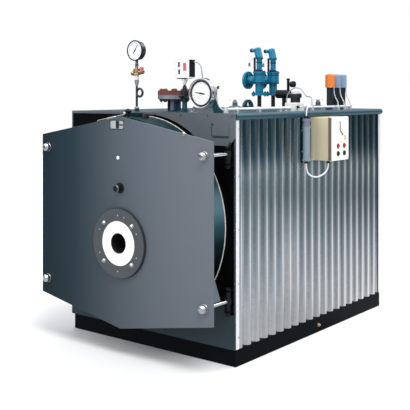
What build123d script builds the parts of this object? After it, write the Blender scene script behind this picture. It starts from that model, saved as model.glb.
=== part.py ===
from build123d import *
import os
from math import atan2, cos, pi, radians, sin, tan

# A horizontal fire-tube steam boiler in a corrugated casing, standing on a
# channel frame. X runs to the right, Y from the front door to the rear flue,
# Z up. The origin is on the floor under the middle of the casing.

# Casing and base
casing_length = 1590
base_height = 90
base_inset = 6
rail_flange = 45
rail_web = 8
cross_count = 3

# Pressure shell, furnace and tubes
shell_radius = 540
shell_wall = 10
shell_end_gap = 2
shell_bottom_gap = 70
shell_side_gap = 50
shell_top_gap = 36
collar_lip = 14
collar_length = 22
collar_proud = 22
tube_plate_thickness = 16
tube_plate_set_back = 6
furnace_share = 29 / 54
furnace_drop_share = 107 / 540
furnace_wall = 12
furnace_back_gap = 266
smoke_tube_share = 7 / 108
smoke_tube_wall = 3
smoke_tube_proud = 5
smoke_chamber_depth = 190
outer_ring_share = 31 / 45
outer_ring_first_angle = 2
outer_ring_last_angle = 178
outer_ring_count = 12
inner_ring_share = 47 / 90
inner_ring_first_angle = 50
inner_ring_last_angle = 130
inner_ring_count = 5

# Cladding, trims and roof
trim_face = 12
trim_side = 28
trim_thickness = 3
wave_count = 20
wave_depth = 18
sheet_thickness = 2.5
roof_overhang = 10
roof_lip_height = 34
roof_lip_width = 40
roof_skin = 6
panel_thickness = 12
rear_panel_thickness = 10

# Front panels
hood_height = 164
hood_corner = 40
lower_panel_height = 227
notch_width = 53
notch_drop = 74
collar_clearance = 10
recess_thickness = 8
recess_inner_share = 35 / 54
recess_below_notch = 22
recess_behind_hood = 18

# Front door
plate_overlap = 20
plate_peak = 110
plate_peak_margin = 2
plate_thickness = 14
plate_front_reach = 220
plate_edge_chamfer = 2
gusset_reach = 113
gusset_height = 140
gusset_drop = 7
gusset_thickness = 6
gusset_rise = 14
drum_wall = 8
drum_stop = 36
lining_disc = 80
lining_ring = 60
rope_radius = 6.5

# Burner mouth
burner_flange_radius = 181
burner_flange_thickness = 18
ceramic_radius = 117
ceramic_recess = 4
burner_bore_radius = 53
burner_bolt_circle = 283
burner_bolt_radius = 6.5
burner_bolt_count = 4

# Sight port
sight_port_rise = 181
sight_flange_radius = 27
sight_flange_thickness = 6
sight_neck_radius = 14
sight_neck_length = 16
sight_knob_radius = 17
sight_knob_length = 14

# Door clamps and hinges
clamp_inset = 29
clamp_low_margin = 82
clamp_high_margin = 72
pin_reach = 30
rod_radius = 10
rod_hole_clearance = 1
rod_in_nut = 18
nut_radius = 22.5
nut_length = 30
pin_radius = 10
pin_clearance = 0.4
eye_radius = 20
eye_height = 30
eye_gap = 0.5
trunnion_radius = 18
trunnion_height = 28
rod_past_trunnion = 14
arm_thickness = 12
arm_inner = 20
arm_outer = 15
arm_offset = 52
arm_offset_short = 24
bracket_plate = 12
bracket_margin = 6
pin_collar_radius = 14
pin_collar_height = 8
pin_tip = 8

# Steam outlet
outlet_y = 218
outlet_pipe_radius = 38
outlet_pipe_wall = 4
outlet_flange_radius = 92.5
outlet_flange_thickness = 22
outlet_rise = 91
counter_flange_radius = 92.5
counter_flange_thickness = 26
outlet_bore_radius = 39
outlet_bolt_circle = 145
outlet_bolt_radius = 9
outlet_bolt_count = 8

# Siphon, cock and pressure gauge
siphon_x_share = -15 / 59
siphon_y = 70
siphon_pipe_radius = 6.5
siphon_rise = 190
siphon_loop_radius = 22
siphon_loop_rise = 105
siphon_base_radius = 13
siphon_base_height = 16
siphon_nut_radius = 12
siphon_nut_height = 24
cock_radius = 9
cock_body_radius = 19
cock_height = 62
cock_body_height = 34
cock_handle_length = 34
cock_handle_radius = 7
gauge_radius = 58
gauge_depth = 38
gauge_bezel = 6
gauge_bezel_depth = 10
gauge_stem = 31
gauge_stem_radius = 8

# Pressure switch on its manifold
switch_x_share = 188 / 590
switch_y = 83
switch_width = 105
switch_height = 104
switch_depth = 42
switch_edge = 5
switch_bottom = 181
manifold_radius = 22
manifold_rise = 115
manifold_pipe_radius = 14
manifold_pipe_height = 58
manifold_nut_radius = 10
manifold_nut_height = 26
manifold_stem_radius = 7
manifold_arm_radius = 13
manifold_arm_length = 34
manifold_foot_radius = 24
manifold_foot_height = 10

# Large dial
dial_x_share = 341 / 590
dial_y = 62
dial_radius = 80
dial_depth = 34
dial_bezel = 9
dial_bezel_depth = 12
dial_rise = 101
dial_plate_width = 112
dial_flare = 59
dial_flare_height = 120
dial_flare_share = 0.29
dial_plate_thickness = 4
dial_foot_depth = 40
dial_plate_height = 135
dial_plug_x = 75
dial_plug_rise = 23
dial_plug_width = 40
dial_plug_depth = 20
dial_plug_height = 16
dial_plug_lead = 6.5

# Conduit and junction box on the roof's right edge
conduit_inset = 116
conduit_z_rise = 17
conduit_radius = 9
conduit_start = 73
junction_place_share = 677 / 1590
conduit_clip_width = 12
conduit_clip_margin = 3
conduit_clip_shares = (0.16, 0.5, 0.84)
junction_length = 114
junction_width = 64
junction_height = 46
junction_edge = 4
trunk_tail = 8.5
trunk_radius = 8
tee_radius = 11
tee_height = 8
feed_tee_share = 927 / 1590
elbow_radius = 12
elbow_height = 30

# Safety valves on the centre line
valve_place_share = 1064 / 1590
valve_pitch = 159
valve_stub_radius = 13
valve_stub_rise = 86
valve_flange_radius = 50
valve_flange_thickness = 18
valve_neck_radius = 26
valve_neck_height = 57
valve_body_radius = 38
valve_body_height = 69
valve_bonnet_flange = 42
valve_bonnet_flange_thickness = 9
valve_outlet_rise = 24
valve_outlet_radius = 26
valve_outlet_reach = 96
valve_outlet_flange = 57
valve_outlet_thickness = 15
valve_outlet_bore = 20
valve_bonnet_radius = 18
valve_bonnet_height = 80
valve_cap_radius = 24
valve_cap_collar = 12
valve_cap_height = 70
valve_cap_lean_angle = 14
valve_boss_radius = 12
valve_boss_length = 38
valve_boss_drop = 22
valve_cap_step = 0.6
valve_cap_crown_share = 2 / 3
valve_pin_radius = 6
valve_pin_reach = 33
valve_lever_thickness = 7
valve_lever_width = 16
valve_lever_drop = 90

# Feed valve group
feed_x_share = 122 / 590
feed_place_share = 1166 / 1590
feed_pipe_radius = 13
feed_rise = 68
feed_body_radius = 27
feed_body_length = 92
feed_body_reach = 50
feed_post_offset = 32
feed_post_radius = 9
feed_post_height = 98
feed_spindle_rise = 63
feed_spindle_radius = 4
feed_spindle_length = 22
feed_knob_radius = 19
feed_knob_depth = 26
feed_drive_offset = 86
feed_drive_radius = 31
feed_drive_height = 50
feed_drive_flange_radius = 40
feed_drive_flange = 24
feed_drive_lift = 22
feed_cable_gap = 41

# Level electrodes
electrode_reach = 36
electrode_place_share = 1203 / 1590
electrode_pitch = 77
electrode_count = 3
electrode_post_radius = 20.5
electrode_post_height = 122
electrode_foot_radius = 26
electrode_foot_height = 9
electrode_head_radius = 29
electrode_head_height = 84
electrode_head_edge = 7
electrode_socket = 14

# Lifting eyes and inspection caps
lifting_place_shares = (500 / 1590, 937 / 1590)
lifting_width = 104
lifting_height = 61
lifting_thickness = 16
lifting_hole_radius = 17
cap_place_shares = ((0, 799 / 1590), (300 / 590, 1291 / 1590))
cap_radius = 56
cap_rim = 6
cap_height = 26
cap_knob_radius = 16
cap_knob_height = 32

# Control box and riser on the right side
control_place_share = 738 / 1590
control_length = 212
control_drop = 280
control_height = 246
control_depth = 104
control_edge = 6
cover_depth = 12
cover_seam = 0.3
cover_edge = 8
cover_margin = 3
button_y_shares = (5 / 12, 3 / 4)
button_level_share = 0.33
switch_level_share = 0.155
button_radius = 8
button_height = 8
switch_knob = 14
riser_x_reach = 26
riser_place_share = 630 / 1590
riser_radius = 20
riser_drop = 276
riser_length = 236
riser_collar = 4
riser_collar_height = 14
riser_low_share = 0.88
riser_strap_height = 10
riser_strap_width = 16
riser_strap_shares = (0.2, 0.7)
gland_radius = 11
gland_height = 14
small_gland_radius = 8
loop_end_share = 1 / 9
roof_gland_reach = 27
roof_gland_back = 57
box_gland_share = 0.3
switch_cable_share = 5 / 6

# Rear smoke box and flue spigot
smoke_box_inset = 60
smoke_box_fall = 358
smoke_box_rise = 420
smoke_box_depth = 120
smoke_box_wall = 6
end_disc_thickness = 12
spigot_radius = 100
spigot_wall = 4
spigot_length = 80
spigot_flange = 22
spigot_flange_thickness = 8

# Shared small sizes
overrun = 5
seat_gap = 0.3
arc_share = 0.45

# Saddles between the frame and the shell
saddle_thickness = 40
saddle_width = 640

# Places worked out from the sizes above
shell_centre_z = base_height + shell_bottom_gap + shell_radius
collar_radius = shell_radius + collar_lip
drum_radius = collar_radius
casing_width = 2 * (shell_radius + shell_side_gap)
casing_height = shell_centre_z + shell_radius + shell_top_gap
furnace_radius = furnace_share * shell_radius
furnace_drop = furnace_drop_share * shell_radius
smoke_tube_radius = smoke_tube_share * shell_radius
half_width = casing_width / 2
front_y = -casing_length / 2
rear_y = casing_length / 2
collar_face_y = front_y - collar_proud
plate_front_y = front_y - plate_front_reach
plate_back_y = plate_front_y + plate_thickness
drum_back_y = front_y - drum_stop
pin_y = front_y - pin_reach
panel_front_y = front_y - panel_thickness
front_tube_plate_y = collar_face_y + tube_plate_set_back
rear_tube_plate_y = rear_y - smoke_chamber_depth
roof_underside = casing_height - roof_skin
hood_bottom = casing_height - hood_height
door_centre_z = shell_centre_z
plate_width = casing_width + 2 * plate_overlap
plate_full_height = 2 * (drum_radius + plate_peak_margin)
plate_side_height = plate_full_height - 2 * plate_peak
burner_centre_z = shell_centre_z - furnace_drop
sight_port_z = shell_centre_z + sight_port_rise
clamp_x = half_width - clamp_inset
clamp_low_z = door_centre_z - plate_side_height / 2 + clamp_low_margin
clamp_high_z = door_centre_z + plate_side_height / 2 - clamp_high_margin
gusset_x = clamp_x
gusset_low_z = clamp_low_z + gusset_rise
furnace_length = rear_tube_plate_y - front_tube_plate_y - furnace_back_gap
lower_panel_top = base_height + lower_panel_height
notch_bottom = clamp_low_z - notch_drop
recess_inner_x = recess_inner_share * shell_radius
recess_bottom = notch_bottom - recess_below_notch
recess_top = hood_bottom + recess_behind_hood
siphon_x = siphon_x_share * half_width
switch_x = switch_x_share * half_width
dial_x = dial_x_share * half_width
feed_x = feed_x_share * half_width
conduit_x = half_width - conduit_inset
electrode_x = conduit_x - electrode_reach
control_bottom = casing_height - control_drop
riser_bottom = casing_height - riser_drop
smoke_box_bottom = shell_centre_z - smoke_box_fall
smoke_box_top = shell_centre_z + smoke_box_rise
recess_face_y = front_y + trim_thickness + seat_gap
crown_z = shell_centre_z + shell_radius
cladding_top = casing_height - roof_lip_height


def upright(x, y, z):
    """A plane whose own up direction is the vertical through the place."""
    return Plane(origin=(x, y, z), x_dir=(1, 0, 0), z_dir=(0, -1, 0))


def forward(x, y, z):
    """A plane whose own up direction points to the front of the boiler."""
    return Plane(origin=(x, y, z), x_dir=(1, 0, 0), z_dir=(0, 0, -1))


def backward(x, y, z):
    """A plane whose own up direction points to the rear of the boiler."""
    return Plane(origin=(x, y, z), x_dir=(1, 0, 0), z_dir=(0, 0, 1))


def outward(x, y, z):
    """A plane whose own up direction points to the right of the boiler."""
    return Plane(origin=(x, y, z), x_dir=(0, 0, 1), z_dir=(0, 1, 0))


def inward(x, y, z):
    """A plane whose own up direction points to the left of the boiler."""
    return Plane(origin=(x, y, z), x_dir=(0, 0, 1), z_dir=(0, -1, 0))


def turned(plane, outline, mode=Mode.ADD):
    """Turn an outline of (radius, height) pairs about the plane's up direction."""
    with BuildSketch(plane) as profile:
        with BuildLine():
            Polyline(*outline, close=True)
        make_face()
    revolve(profile.sketch, axis=Axis(plane.origin, plane.y_dir), mode=mode)


def spool(steps):
    """The outline of stacked discs, given as (radius, height) from the bottom up."""
    outline = [(0, 0)]
    level = 0
    for radius, height in steps:
        outline += [(radius, level), (radius, level + height)]
        level += height
    return outline + [(0, level)]


def front_plane(y):
    """The upright plane at y, seen from the front, with its normal to the front."""
    return Plane(origin=(0, y, 0), x_dir=(1, 0, 0), z_dir=(0, -1, 0))


def tube_places():
    """The centres of the smoke tubes, in two arcs over the furnace."""
    places = []
    rings = (
        (outer_ring_share, outer_ring_first_angle, outer_ring_last_angle, outer_ring_count),
        (inner_ring_share, inner_ring_first_angle, inner_ring_last_angle, inner_ring_count),
    )
    for share, first, last, count in rings:
        radius = share * shell_radius
        for index in range(count):
            turn = radians(first + (last - first) * index / (count - 1))
            places.append((radius * cos(turn), shell_centre_z + radius * sin(turn)))
    return places


def from_front(distance):
    """The Y of a place given by its distance behind the casing's front."""
    return front_y + distance


def along(share):
    """The Y of a place given by its share of the casing's length."""
    return front_y + share * casing_length


# Base frame of channel sections, open to the inside
base_half_width = half_width - base_inset
base_half_length = casing_length / 2 - base_inset


def channel(facing):
    """One channel section whose web is on the side that it faces."""
    with Locations((facing * -rail_flange / 2, base_height / 2)):
        Rectangle(rail_flange, base_height)
    inner = rail_flange - rail_web
    with Locations((facing * (-rail_web - inner / 2), base_height / 2)):
        Rectangle(inner, base_height - 2 * rail_web, mode=Mode.SUBTRACT)


with BuildPart() as base_frame:
    for side in (-1, 1):
        with BuildSketch(Plane(origin=(side * base_half_width, 0, 0), x_dir=(1, 0, 0), z_dir=(0, -1, 0))):
            channel(side)
        extrude(amount=base_half_length, both=True)
        with BuildSketch(Plane(origin=(0, side * base_half_length, 0), x_dir=(0, 1, 0), z_dir=(1, 0, 0))):
            channel(side)
        extrude(amount=base_half_width, both=True)
    cross_pitch = casing_length / (cross_count + 1)
    with BuildSketch(Plane.XY):
        with GridLocations(0, cross_pitch, 1, cross_count):
            Rectangle(2 * (base_half_width - rail_web), rail_flange)
    extrude(amount=base_height - rail_web)
    # Saddles that carry the shell
    for end in (-1, 1):
        with BuildSketch(front_plane(end * cross_pitch)):
            with Locations((0, (base_height - rail_web + shell_centre_z - rail_web) / 2)):
                Rectangle(saddle_width, shell_centre_z - base_height)
            with Locations((0, shell_centre_z)):
                Circle(shell_radius + seat_gap, mode=Mode.SUBTRACT)
        extrude(amount=saddle_thickness / 2, both=True)
base_frame.part.label = "base_frame"

# Pressure shell with its sealing collar at the front
with BuildPart() as boiler_shell:
    with BuildSketch(front_plane(rear_y - shell_end_gap)):
        with Locations((0, shell_centre_z)):
            Circle(shell_radius)
            Circle(shell_radius - shell_wall, mode=Mode.SUBTRACT)
    extrude(amount=rear_y - shell_end_gap - collar_face_y)
    with BuildSketch(front_plane(collar_face_y + collar_length)):
        with Locations((0, shell_centre_z)):
            Circle(collar_radius)
            Circle(shell_radius - shell_wall, mode=Mode.SUBTRACT)
    extrude(amount=collar_length)
    # Steam way up into the outlet stub
    with BuildSketch(Plane.XY.offset(shell_centre_z)):
        with Locations((0, from_front(outlet_y))):
            Circle(outlet_pipe_radius - outlet_pipe_wall)
    extrude(amount=shell_radius + overrun, mode=Mode.SUBTRACT)
boiler_shell.part.label = "boiler_shell"


def tube_plate(y, with_furnace):
    """One tube plate inside the shell, its front face at y."""
    with BuildSketch(front_plane(y + tube_plate_thickness)) as plate:
        with Locations((0, shell_centre_z)):
            Circle(shell_radius - shell_wall - seat_gap)
        with Locations(*tube_places()):
            Circle(smoke_tube_radius + seat_gap, mode=Mode.SUBTRACT)
        if with_furnace:
            with Locations((0, shell_centre_z - furnace_drop)):
                Circle(furnace_radius + seat_gap, mode=Mode.SUBTRACT)
    extrude(plate.sketch, amount=tube_plate_thickness)


with BuildPart() as front_tube_plate:
    tube_plate(front_tube_plate_y, True)
front_tube_plate.part.label = "front_tube_plate"

with BuildPart() as rear_tube_plate:
    tube_plate(rear_tube_plate_y, False)
rear_tube_plate.part.label = "rear_tube_plate"

# Furnace tube, open to the door and closed at its far end
with BuildPart() as furnace_tube:
    with BuildSketch(front_plane(front_tube_plate_y + furnace_length)):
        with Locations((0, shell_centre_z - furnace_drop)):
            Circle(furnace_radius)
    extrude(amount=furnace_length)
    with BuildSketch(front_plane(front_tube_plate_y + furnace_length - furnace_wall)):
        with Locations((0, shell_centre_z - furnace_drop)):
            Circle(furnace_radius - furnace_wall)
    extrude(amount=furnace_length, mode=Mode.SUBTRACT)
furnace_tube.part.label = "furnace_tube"

# Smoke tubes from plate to plate
tube_front_y = front_tube_plate_y - smoke_tube_proud
tube_rear_y = rear_tube_plate_y + tube_plate_thickness + smoke_tube_proud
with BuildPart() as smoke_tubes:
    with BuildSketch(front_plane(tube_rear_y)):
        with Locations(*tube_places()):
            Circle(smoke_tube_radius)
            Circle(smoke_tube_radius - smoke_tube_wall, mode=Mode.SUBTRACT)
    extrude(amount=tube_rear_y - tube_front_y)
smoke_tubes.part.label = "smoke_tubes"

# Corrugated side cladding: half waves as tangent arcs
cladding_front_y = front_y + trim_side + seat_gap
cladding_rear_y = rear_y - trim_side - seat_gap
wave_pitch = (cladding_rear_y - cladding_front_y) / wave_count
half_wave = wave_pitch / 2
wave_swing = (wave_depth - sheet_thickness) / 2
wave_slope = 2 * atan2(wave_swing, half_wave / 2)
wave_middle_x = half_width - wave_depth / 2


def wave_point(index, side):
    """The point on one face of the sheet where two half waves meet."""
    lean = wave_slope if index % 2 == 0 else -wave_slope
    reach = side * sheet_thickness / 2
    return (wave_middle_x + reach * cos(lean), cladding_front_y + index * half_wave - reach * sin(lean))


def wave_crest(index, side):
    """The outermost point of one face of the sheet in a half wave."""
    swing = wave_swing if index % 2 == 0 else -wave_swing
    return (
        wave_middle_x + swing + side * sheet_thickness / 2,
        cladding_front_y + (index + 1 / 2) * half_wave,
    )


with BuildPart() as right_cladding:
    with BuildSketch(Plane.XY.offset(base_height)):
        with BuildLine():
            for index in range(2 * wave_count):
                ThreePointArc(wave_point(index, 1), wave_crest(index, 1), wave_point(index + 1, 1))
                ThreePointArc(wave_point(index, -1), wave_crest(index, -1), wave_point(index + 1, -1))
            for index in (0, 2 * wave_count):
                Line(wave_point(index, 1), wave_point(index, -1))
        make_face()
    extrude(amount=cladding_top - base_height - seat_gap)
right_cladding.part.label = "right_cladding"

with BuildPart() as left_cladding:
    mirror(right_cladding.part, about=Plane.YZ)
left_cladding.part.label = "left_cladding"

# Bright corner trims, one folded angle at each corner
with BuildPart() as corner_trims:
    with BuildSketch(Plane.XY.offset(base_height)):
        for side in (-1, 1):
            for end in (-1, 1):
                with Locations((side * (half_width - trim_face / 2), end * (rear_y - trim_thickness / 2))):
                    Rectangle(trim_face, trim_thickness)
                with Locations((side * (half_width - trim_thickness / 2), end * (rear_y - trim_side / 2))):
                    Rectangle(trim_thickness, trim_side)
    extrude(amount=cladding_top - base_height - seat_gap)
corner_trims.part.label = "corner_trims"

# Rear panel round the shell's end, up to the roof between its lips
rear_panel_side = half_width - trim_thickness - seat_gap
lip_inner_x = half_width + roof_overhang - roof_lip_width
with BuildPart() as rear_panel:
    with BuildSketch(front_plane(rear_y - trim_thickness - seat_gap)):
        with BuildLine():
            Polyline(
                (-rear_panel_side, base_height),
                (rear_panel_side, base_height),
                (rear_panel_side, cladding_top - seat_gap),
                (lip_inner_x - seat_gap, cladding_top - seat_gap),
                (lip_inner_x - seat_gap, roof_underside),
                (-lip_inner_x + seat_gap, roof_underside),
                (-lip_inner_x + seat_gap, cladding_top - seat_gap),
                (-rear_panel_side, cladding_top - seat_gap),
                close=True,
            )
        make_face()
        with Locations((0, shell_centre_z)):
            Circle(shell_radius + seat_gap, mode=Mode.SUBTRACT)
    extrude(amount=rear_panel_thickness)
rear_panel.part.label = "rear_panel"

# Roof panel with rolled lips along both sides
roof_half_width = half_width + roof_overhang
lip_radius = roof_lip_height / 2
roof_length = casing_length + roof_overhang
electrode_ys = [along(electrode_place_share) + electrode_pitch * index for index in range(electrode_count)]
valve_ys = [along(valve_place_share), along(valve_place_share) + valve_pitch]
stub_holes = [(0, from_front(outlet_y), outlet_pipe_radius)]
for y in valve_ys:
    stub_holes.append((0, y, valve_stub_radius))
with BuildPart() as roof_panel:
    with BuildSketch(front_plane(front_y)):
        for side in (-1, 1):
            with Locations((side * (roof_half_width - lip_radius), casing_height - lip_radius)):
                Circle(lip_radius)
            lip_x = roof_half_width - (roof_lip_width + lip_radius) / 2
            with Locations((side * lip_x, casing_height - lip_radius)):
                Rectangle(roof_lip_width - lip_radius, roof_lip_height)
        with Locations((0, casing_height - roof_skin / 2)):
            Rectangle(2 * (roof_half_width - lip_radius), roof_skin)
    extrude(amount=-roof_length)
    with BuildSketch(Plane.XY.offset(casing_height)):
        for x, y, radius in stub_holes:
            with Locations((x, y)):
                Circle(radius + seat_gap)
    extrude(amount=-roof_lip_height, mode=Mode.SUBTRACT)
roof_panel.part.label = "roof_panel"

# Front hood over the door, cut round the collar
with BuildPart() as front_hood:
    with BuildSketch(front_plane(front_y)):
        with BuildLine():
            Polyline(
                (-half_width, casing_height),
                (half_width, casing_height),
                (half_width, hood_bottom + hood_corner),
                (half_width - hood_corner, hood_bottom),
                (-half_width + hood_corner, hood_bottom),
                (-half_width, hood_bottom + hood_corner),
                close=True,
            )
        make_face()
        with Locations((0, shell_centre_z)):
            Circle(collar_radius + collar_clearance, mode=Mode.SUBTRACT)
    extrude(amount=panel_thickness)
front_hood.part.label = "front_hood"

# Lower front panel, notched for the lower brackets
with BuildPart() as lower_front_panel:
    with BuildSketch(front_plane(front_y)):
        with BuildLine():
            Polyline(
                (-half_width, base_height),
                (half_width, base_height),
                (half_width, notch_bottom),
                (half_width - notch_width, notch_bottom),
                (half_width - notch_width, lower_panel_top),
                (-half_width + notch_width, lower_panel_top),
                (-half_width + notch_width, notch_bottom),
                (-half_width, notch_bottom),
                close=True,
            )
        make_face()
        with Locations((0, shell_centre_z)):
            Circle(collar_radius + collar_clearance, mode=Mode.SUBTRACT)
    extrude(amount=panel_thickness)
lower_front_panel.part.label = "lower_front_panel"

# Dark recess panels between the hood and the lower panel
recess_outer_x = half_width - trim_thickness - seat_gap
with BuildPart() as recess_panels:
    with BuildSketch(front_plane(recess_face_y + recess_thickness)):
        for side in (-1, 1):
            with Locations((side * (recess_inner_x + recess_outer_x) / 2, (recess_bottom + recess_top) / 2)):
                Rectangle(recess_outer_x - recess_inner_x, recess_top - recess_bottom)
        with Locations((0, shell_centre_z)):
            Circle(shell_radius + seat_gap, mode=Mode.SUBTRACT)
    extrude(amount=recess_thickness)
recess_panels.part.label = "recess_panels"

# Hinge brackets on the left and clamp brackets on the right
bracket_front_y = recess_face_y - seat_gap


def bracket_levels(z):
    """Arm offsets below and above the rod at this level."""
    upper = arm_offset_short if z == clamp_high_z else arm_offset
    return -arm_offset, upper


with BuildPart() as hinge_brackets:
    for side in (-1, 1):
        for z in (clamp_low_z, clamp_high_z):
            low, high = bracket_levels(z)
            inner_x = side * (clamp_x - arm_inner)
            outer_x = side * (clamp_x + arm_outer)
            width = arm_inner + arm_outer
            middle_x = (inner_x + outer_x) / 2
            for offset in (low, high):
                with BuildSketch(Plane.XY.offset(z + offset - arm_thickness / 2)):
                    with Locations((middle_x, (pin_y + bracket_front_y) / 2)):
                        Rectangle(width, bracket_front_y - pin_y)
                    with Locations((side * clamp_x, pin_y)):
                        Circle(arm_outer)
                        Circle(pin_radius + pin_clearance, mode=Mode.SUBTRACT)
                extrude(amount=arm_thickness)
            plate_low = z + low - arm_thickness / 2 - bracket_margin
            plate_high = z + high + arm_thickness / 2 + bracket_margin
            with BuildSketch(front_plane(bracket_front_y)):
                with Locations((middle_x, (plate_low + plate_high) / 2)):
                    Rectangle(width, plate_high - plate_low)
            extrude(amount=bracket_plate)
hinge_brackets.part.label = "hinge_brackets"


def pin_journal(z, core_radius, core_half_height):
    """Steps of a vertical pin from its bottom tip, and the level of that tip."""
    low, high = bracket_levels(z)
    half_arm = arm_thickness / 2
    bottom = low - half_arm - seat_gap - pin_collar_height - pin_tip
    steps = [
        (pin_radius - 2 * pin_clearance, pin_tip),
        (pin_collar_radius, pin_collar_height),
        (pin_radius, arm_thickness + 2 * seat_gap),
        (pin_collar_radius, -core_half_height - eye_gap - (low + half_arm + seat_gap)),
        (core_radius, 2 * (core_half_height + eye_gap)),
        (pin_collar_radius, high - half_arm - seat_gap - core_half_height - eye_gap),
        (pin_radius, arm_thickness + 2 * seat_gap),
        (pin_collar_radius, pin_collar_height),
    ]
    return steps, z + bottom


# Left hinge pins, through the eyes of the door's rods
with BuildPart() as hinge_pins:
    for z in (clamp_low_z, clamp_high_z):
        steps, bottom = pin_journal(z, pin_radius, eye_height / 2)
        turned(upright(-clamp_x, pin_y, bottom), spool(steps))
hinge_pins.part.label = "hinge_pins"

# Right trunnions that take the ends of the clamp rods
with BuildPart() as clamp_trunnions:
    for z in (clamp_low_z, clamp_high_z):
        steps, bottom = pin_journal(z, trunnion_radius, trunnion_height / 2)
        turned(upright(clamp_x, pin_y, bottom), spool(steps))
        with BuildSketch(Plane(origin=(clamp_x, pin_y + trunnion_radius + overrun, z), z_dir=(0, -1, 0))):
            Circle(rod_radius + rod_hole_clearance)
        extrude(amount=2 * (trunnion_radius + overrun), mode=Mode.SUBTRACT)
clamp_trunnions.part.label = "clamp_trunnions"

# Door plate: upright sides, a low peak above and below
with BuildPart() as door_plate:
    with BuildSketch(front_plane(plate_back_y)):
        with BuildLine():
            Polyline(
                (-plate_width / 2, door_centre_z - plate_side_height / 2),
                (0, door_centre_z - plate_full_height / 2),
                (plate_width / 2, door_centre_z - plate_side_height / 2),
                (plate_width / 2, door_centre_z + plate_side_height / 2),
                (0, door_centre_z + plate_full_height / 2),
                (-plate_width / 2, door_centre_z + plate_side_height / 2),
                close=True,
            )
        make_face()
    extrude(amount=plate_thickness)
    chamfer(door_plate.faces().sort_by(Axis.Y)[0].edges(), length=plate_edge_chamfer)
    with BuildSketch(front_plane(plate_back_y)):
        with Locations((0, burner_centre_z)):
            Circle(ceramic_radius + seat_gap)
        for side in (-1, 1):
            for z in (clamp_low_z, clamp_high_z):
                with Locations((side * clamp_x, z)):
                    Circle(rod_radius + rod_hole_clearance)
    extrude(amount=plate_thickness, mode=Mode.SUBTRACT)
    # Gussets on the plate's back, over the lower rods
    for side in (-1, 1):
        with BuildSketch(Plane(origin=(side * gusset_x, 0, 0), x_dir=(0, 1, 0), z_dir=(1, 0, 0))):
            with BuildLine():
                Polyline(
                    (plate_back_y - plate_thickness / 2, gusset_low_z + gusset_height),
                    (plate_back_y - plate_thickness / 2, gusset_low_z),
                    (plate_back_y + gusset_reach, gusset_low_z),
                    (plate_back_y + gusset_reach / 2, gusset_low_z + gusset_height - gusset_drop),
                    close=True,
                )
            make_face()
        extrude(amount=gusset_thickness / 2, both=True)
door_plate.part.label = "door_plate"

# Door drum, the ring wall behind the plate
with BuildPart() as door_drum:
    with BuildSketch(front_plane(drum_back_y)):
        with Locations((0, shell_centre_z)):
            Circle(drum_radius)
            Circle(drum_radius - drum_wall, mode=Mode.SUBTRACT)
    extrude(amount=drum_back_y - plate_back_y)
door_drum.part.label = "door_drum"

# Refractory lining: a disc on the plate and a ring on the drum wall
with BuildPart() as door_refractory:
    with BuildSketch(front_plane(plate_back_y + lining_disc)):
        with Locations((0, shell_centre_z)):
            Circle(drum_radius - drum_wall - seat_gap)
        with Locations((0, burner_centre_z)):
            Circle(ceramic_radius + seat_gap, mode=Mode.SUBTRACT)
    extrude(amount=lining_disc)
    with BuildSketch(front_plane(drum_back_y)):
        with Locations((0, shell_centre_z)):
            Circle(drum_radius - drum_wall - seat_gap)
            Circle(drum_radius - drum_wall - lining_ring, mode=Mode.SUBTRACT)
    extrude(amount=drum_back_y - plate_back_y - lining_disc)
door_refractory.part.label = "door_refractory"

# Gasket rope on the drum's rim, against the collar
rope_centre_radius = drum_radius - 2 * rope_radius
rope_y = collar_face_y - seat_gap - rope_radius
with BuildPart() as gasket_rope:
    with BuildSketch(backward(0, rope_y, shell_centre_z)):
        with Locations((rope_centre_radius, 0)):
            Circle(rope_radius)
    revolve(axis=Axis((0, rope_y, shell_centre_z), (0, 1, 0)))
gasket_rope.part.label = "gasket_rope"

# Burner flange and the ceramic sleeve in it
with BuildPart() as burner_flange:
    with BuildSketch(front_plane(plate_front_y)):
        with Locations((0, burner_centre_z)):
            Circle(burner_flange_radius)
            Circle(ceramic_radius + seat_gap, mode=Mode.SUBTRACT)
            with PolarLocations(burner_bolt_circle / 2, burner_bolt_count, start_angle=45):
                Circle(burner_bolt_radius, mode=Mode.SUBTRACT)
    extrude(amount=burner_flange_thickness)
burner_flange.part.label = "burner_flange"

ceramic_front_y = plate_front_y - burner_flange_thickness + ceramic_recess
with BuildPart() as burner_ceramic:
    with BuildSketch(front_plane(plate_back_y + lining_disc)):
        with Locations((0, burner_centre_z)):
            Circle(ceramic_radius)
            Circle(burner_bore_radius, mode=Mode.SUBTRACT)
    extrude(amount=plate_back_y + lining_disc - ceramic_front_y)
burner_ceramic.part.label = "burner_ceramic"

# Sight port with its round knob
with BuildPart() as sight_port:
    turned(
        forward(0, plate_front_y, sight_port_z),
        spool(
            [
                (sight_flange_radius, sight_flange_thickness),
                (sight_neck_radius, sight_neck_length),
                (sight_knob_radius, sight_knob_length),
            ]
        ),
    )
    fillet(sight_port.edges().filter_by(GeomType.CIRCLE).group_by(Axis.Y)[0], radius=sight_knob_length / 3)
sight_port.part.label = "sight_port"

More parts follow.
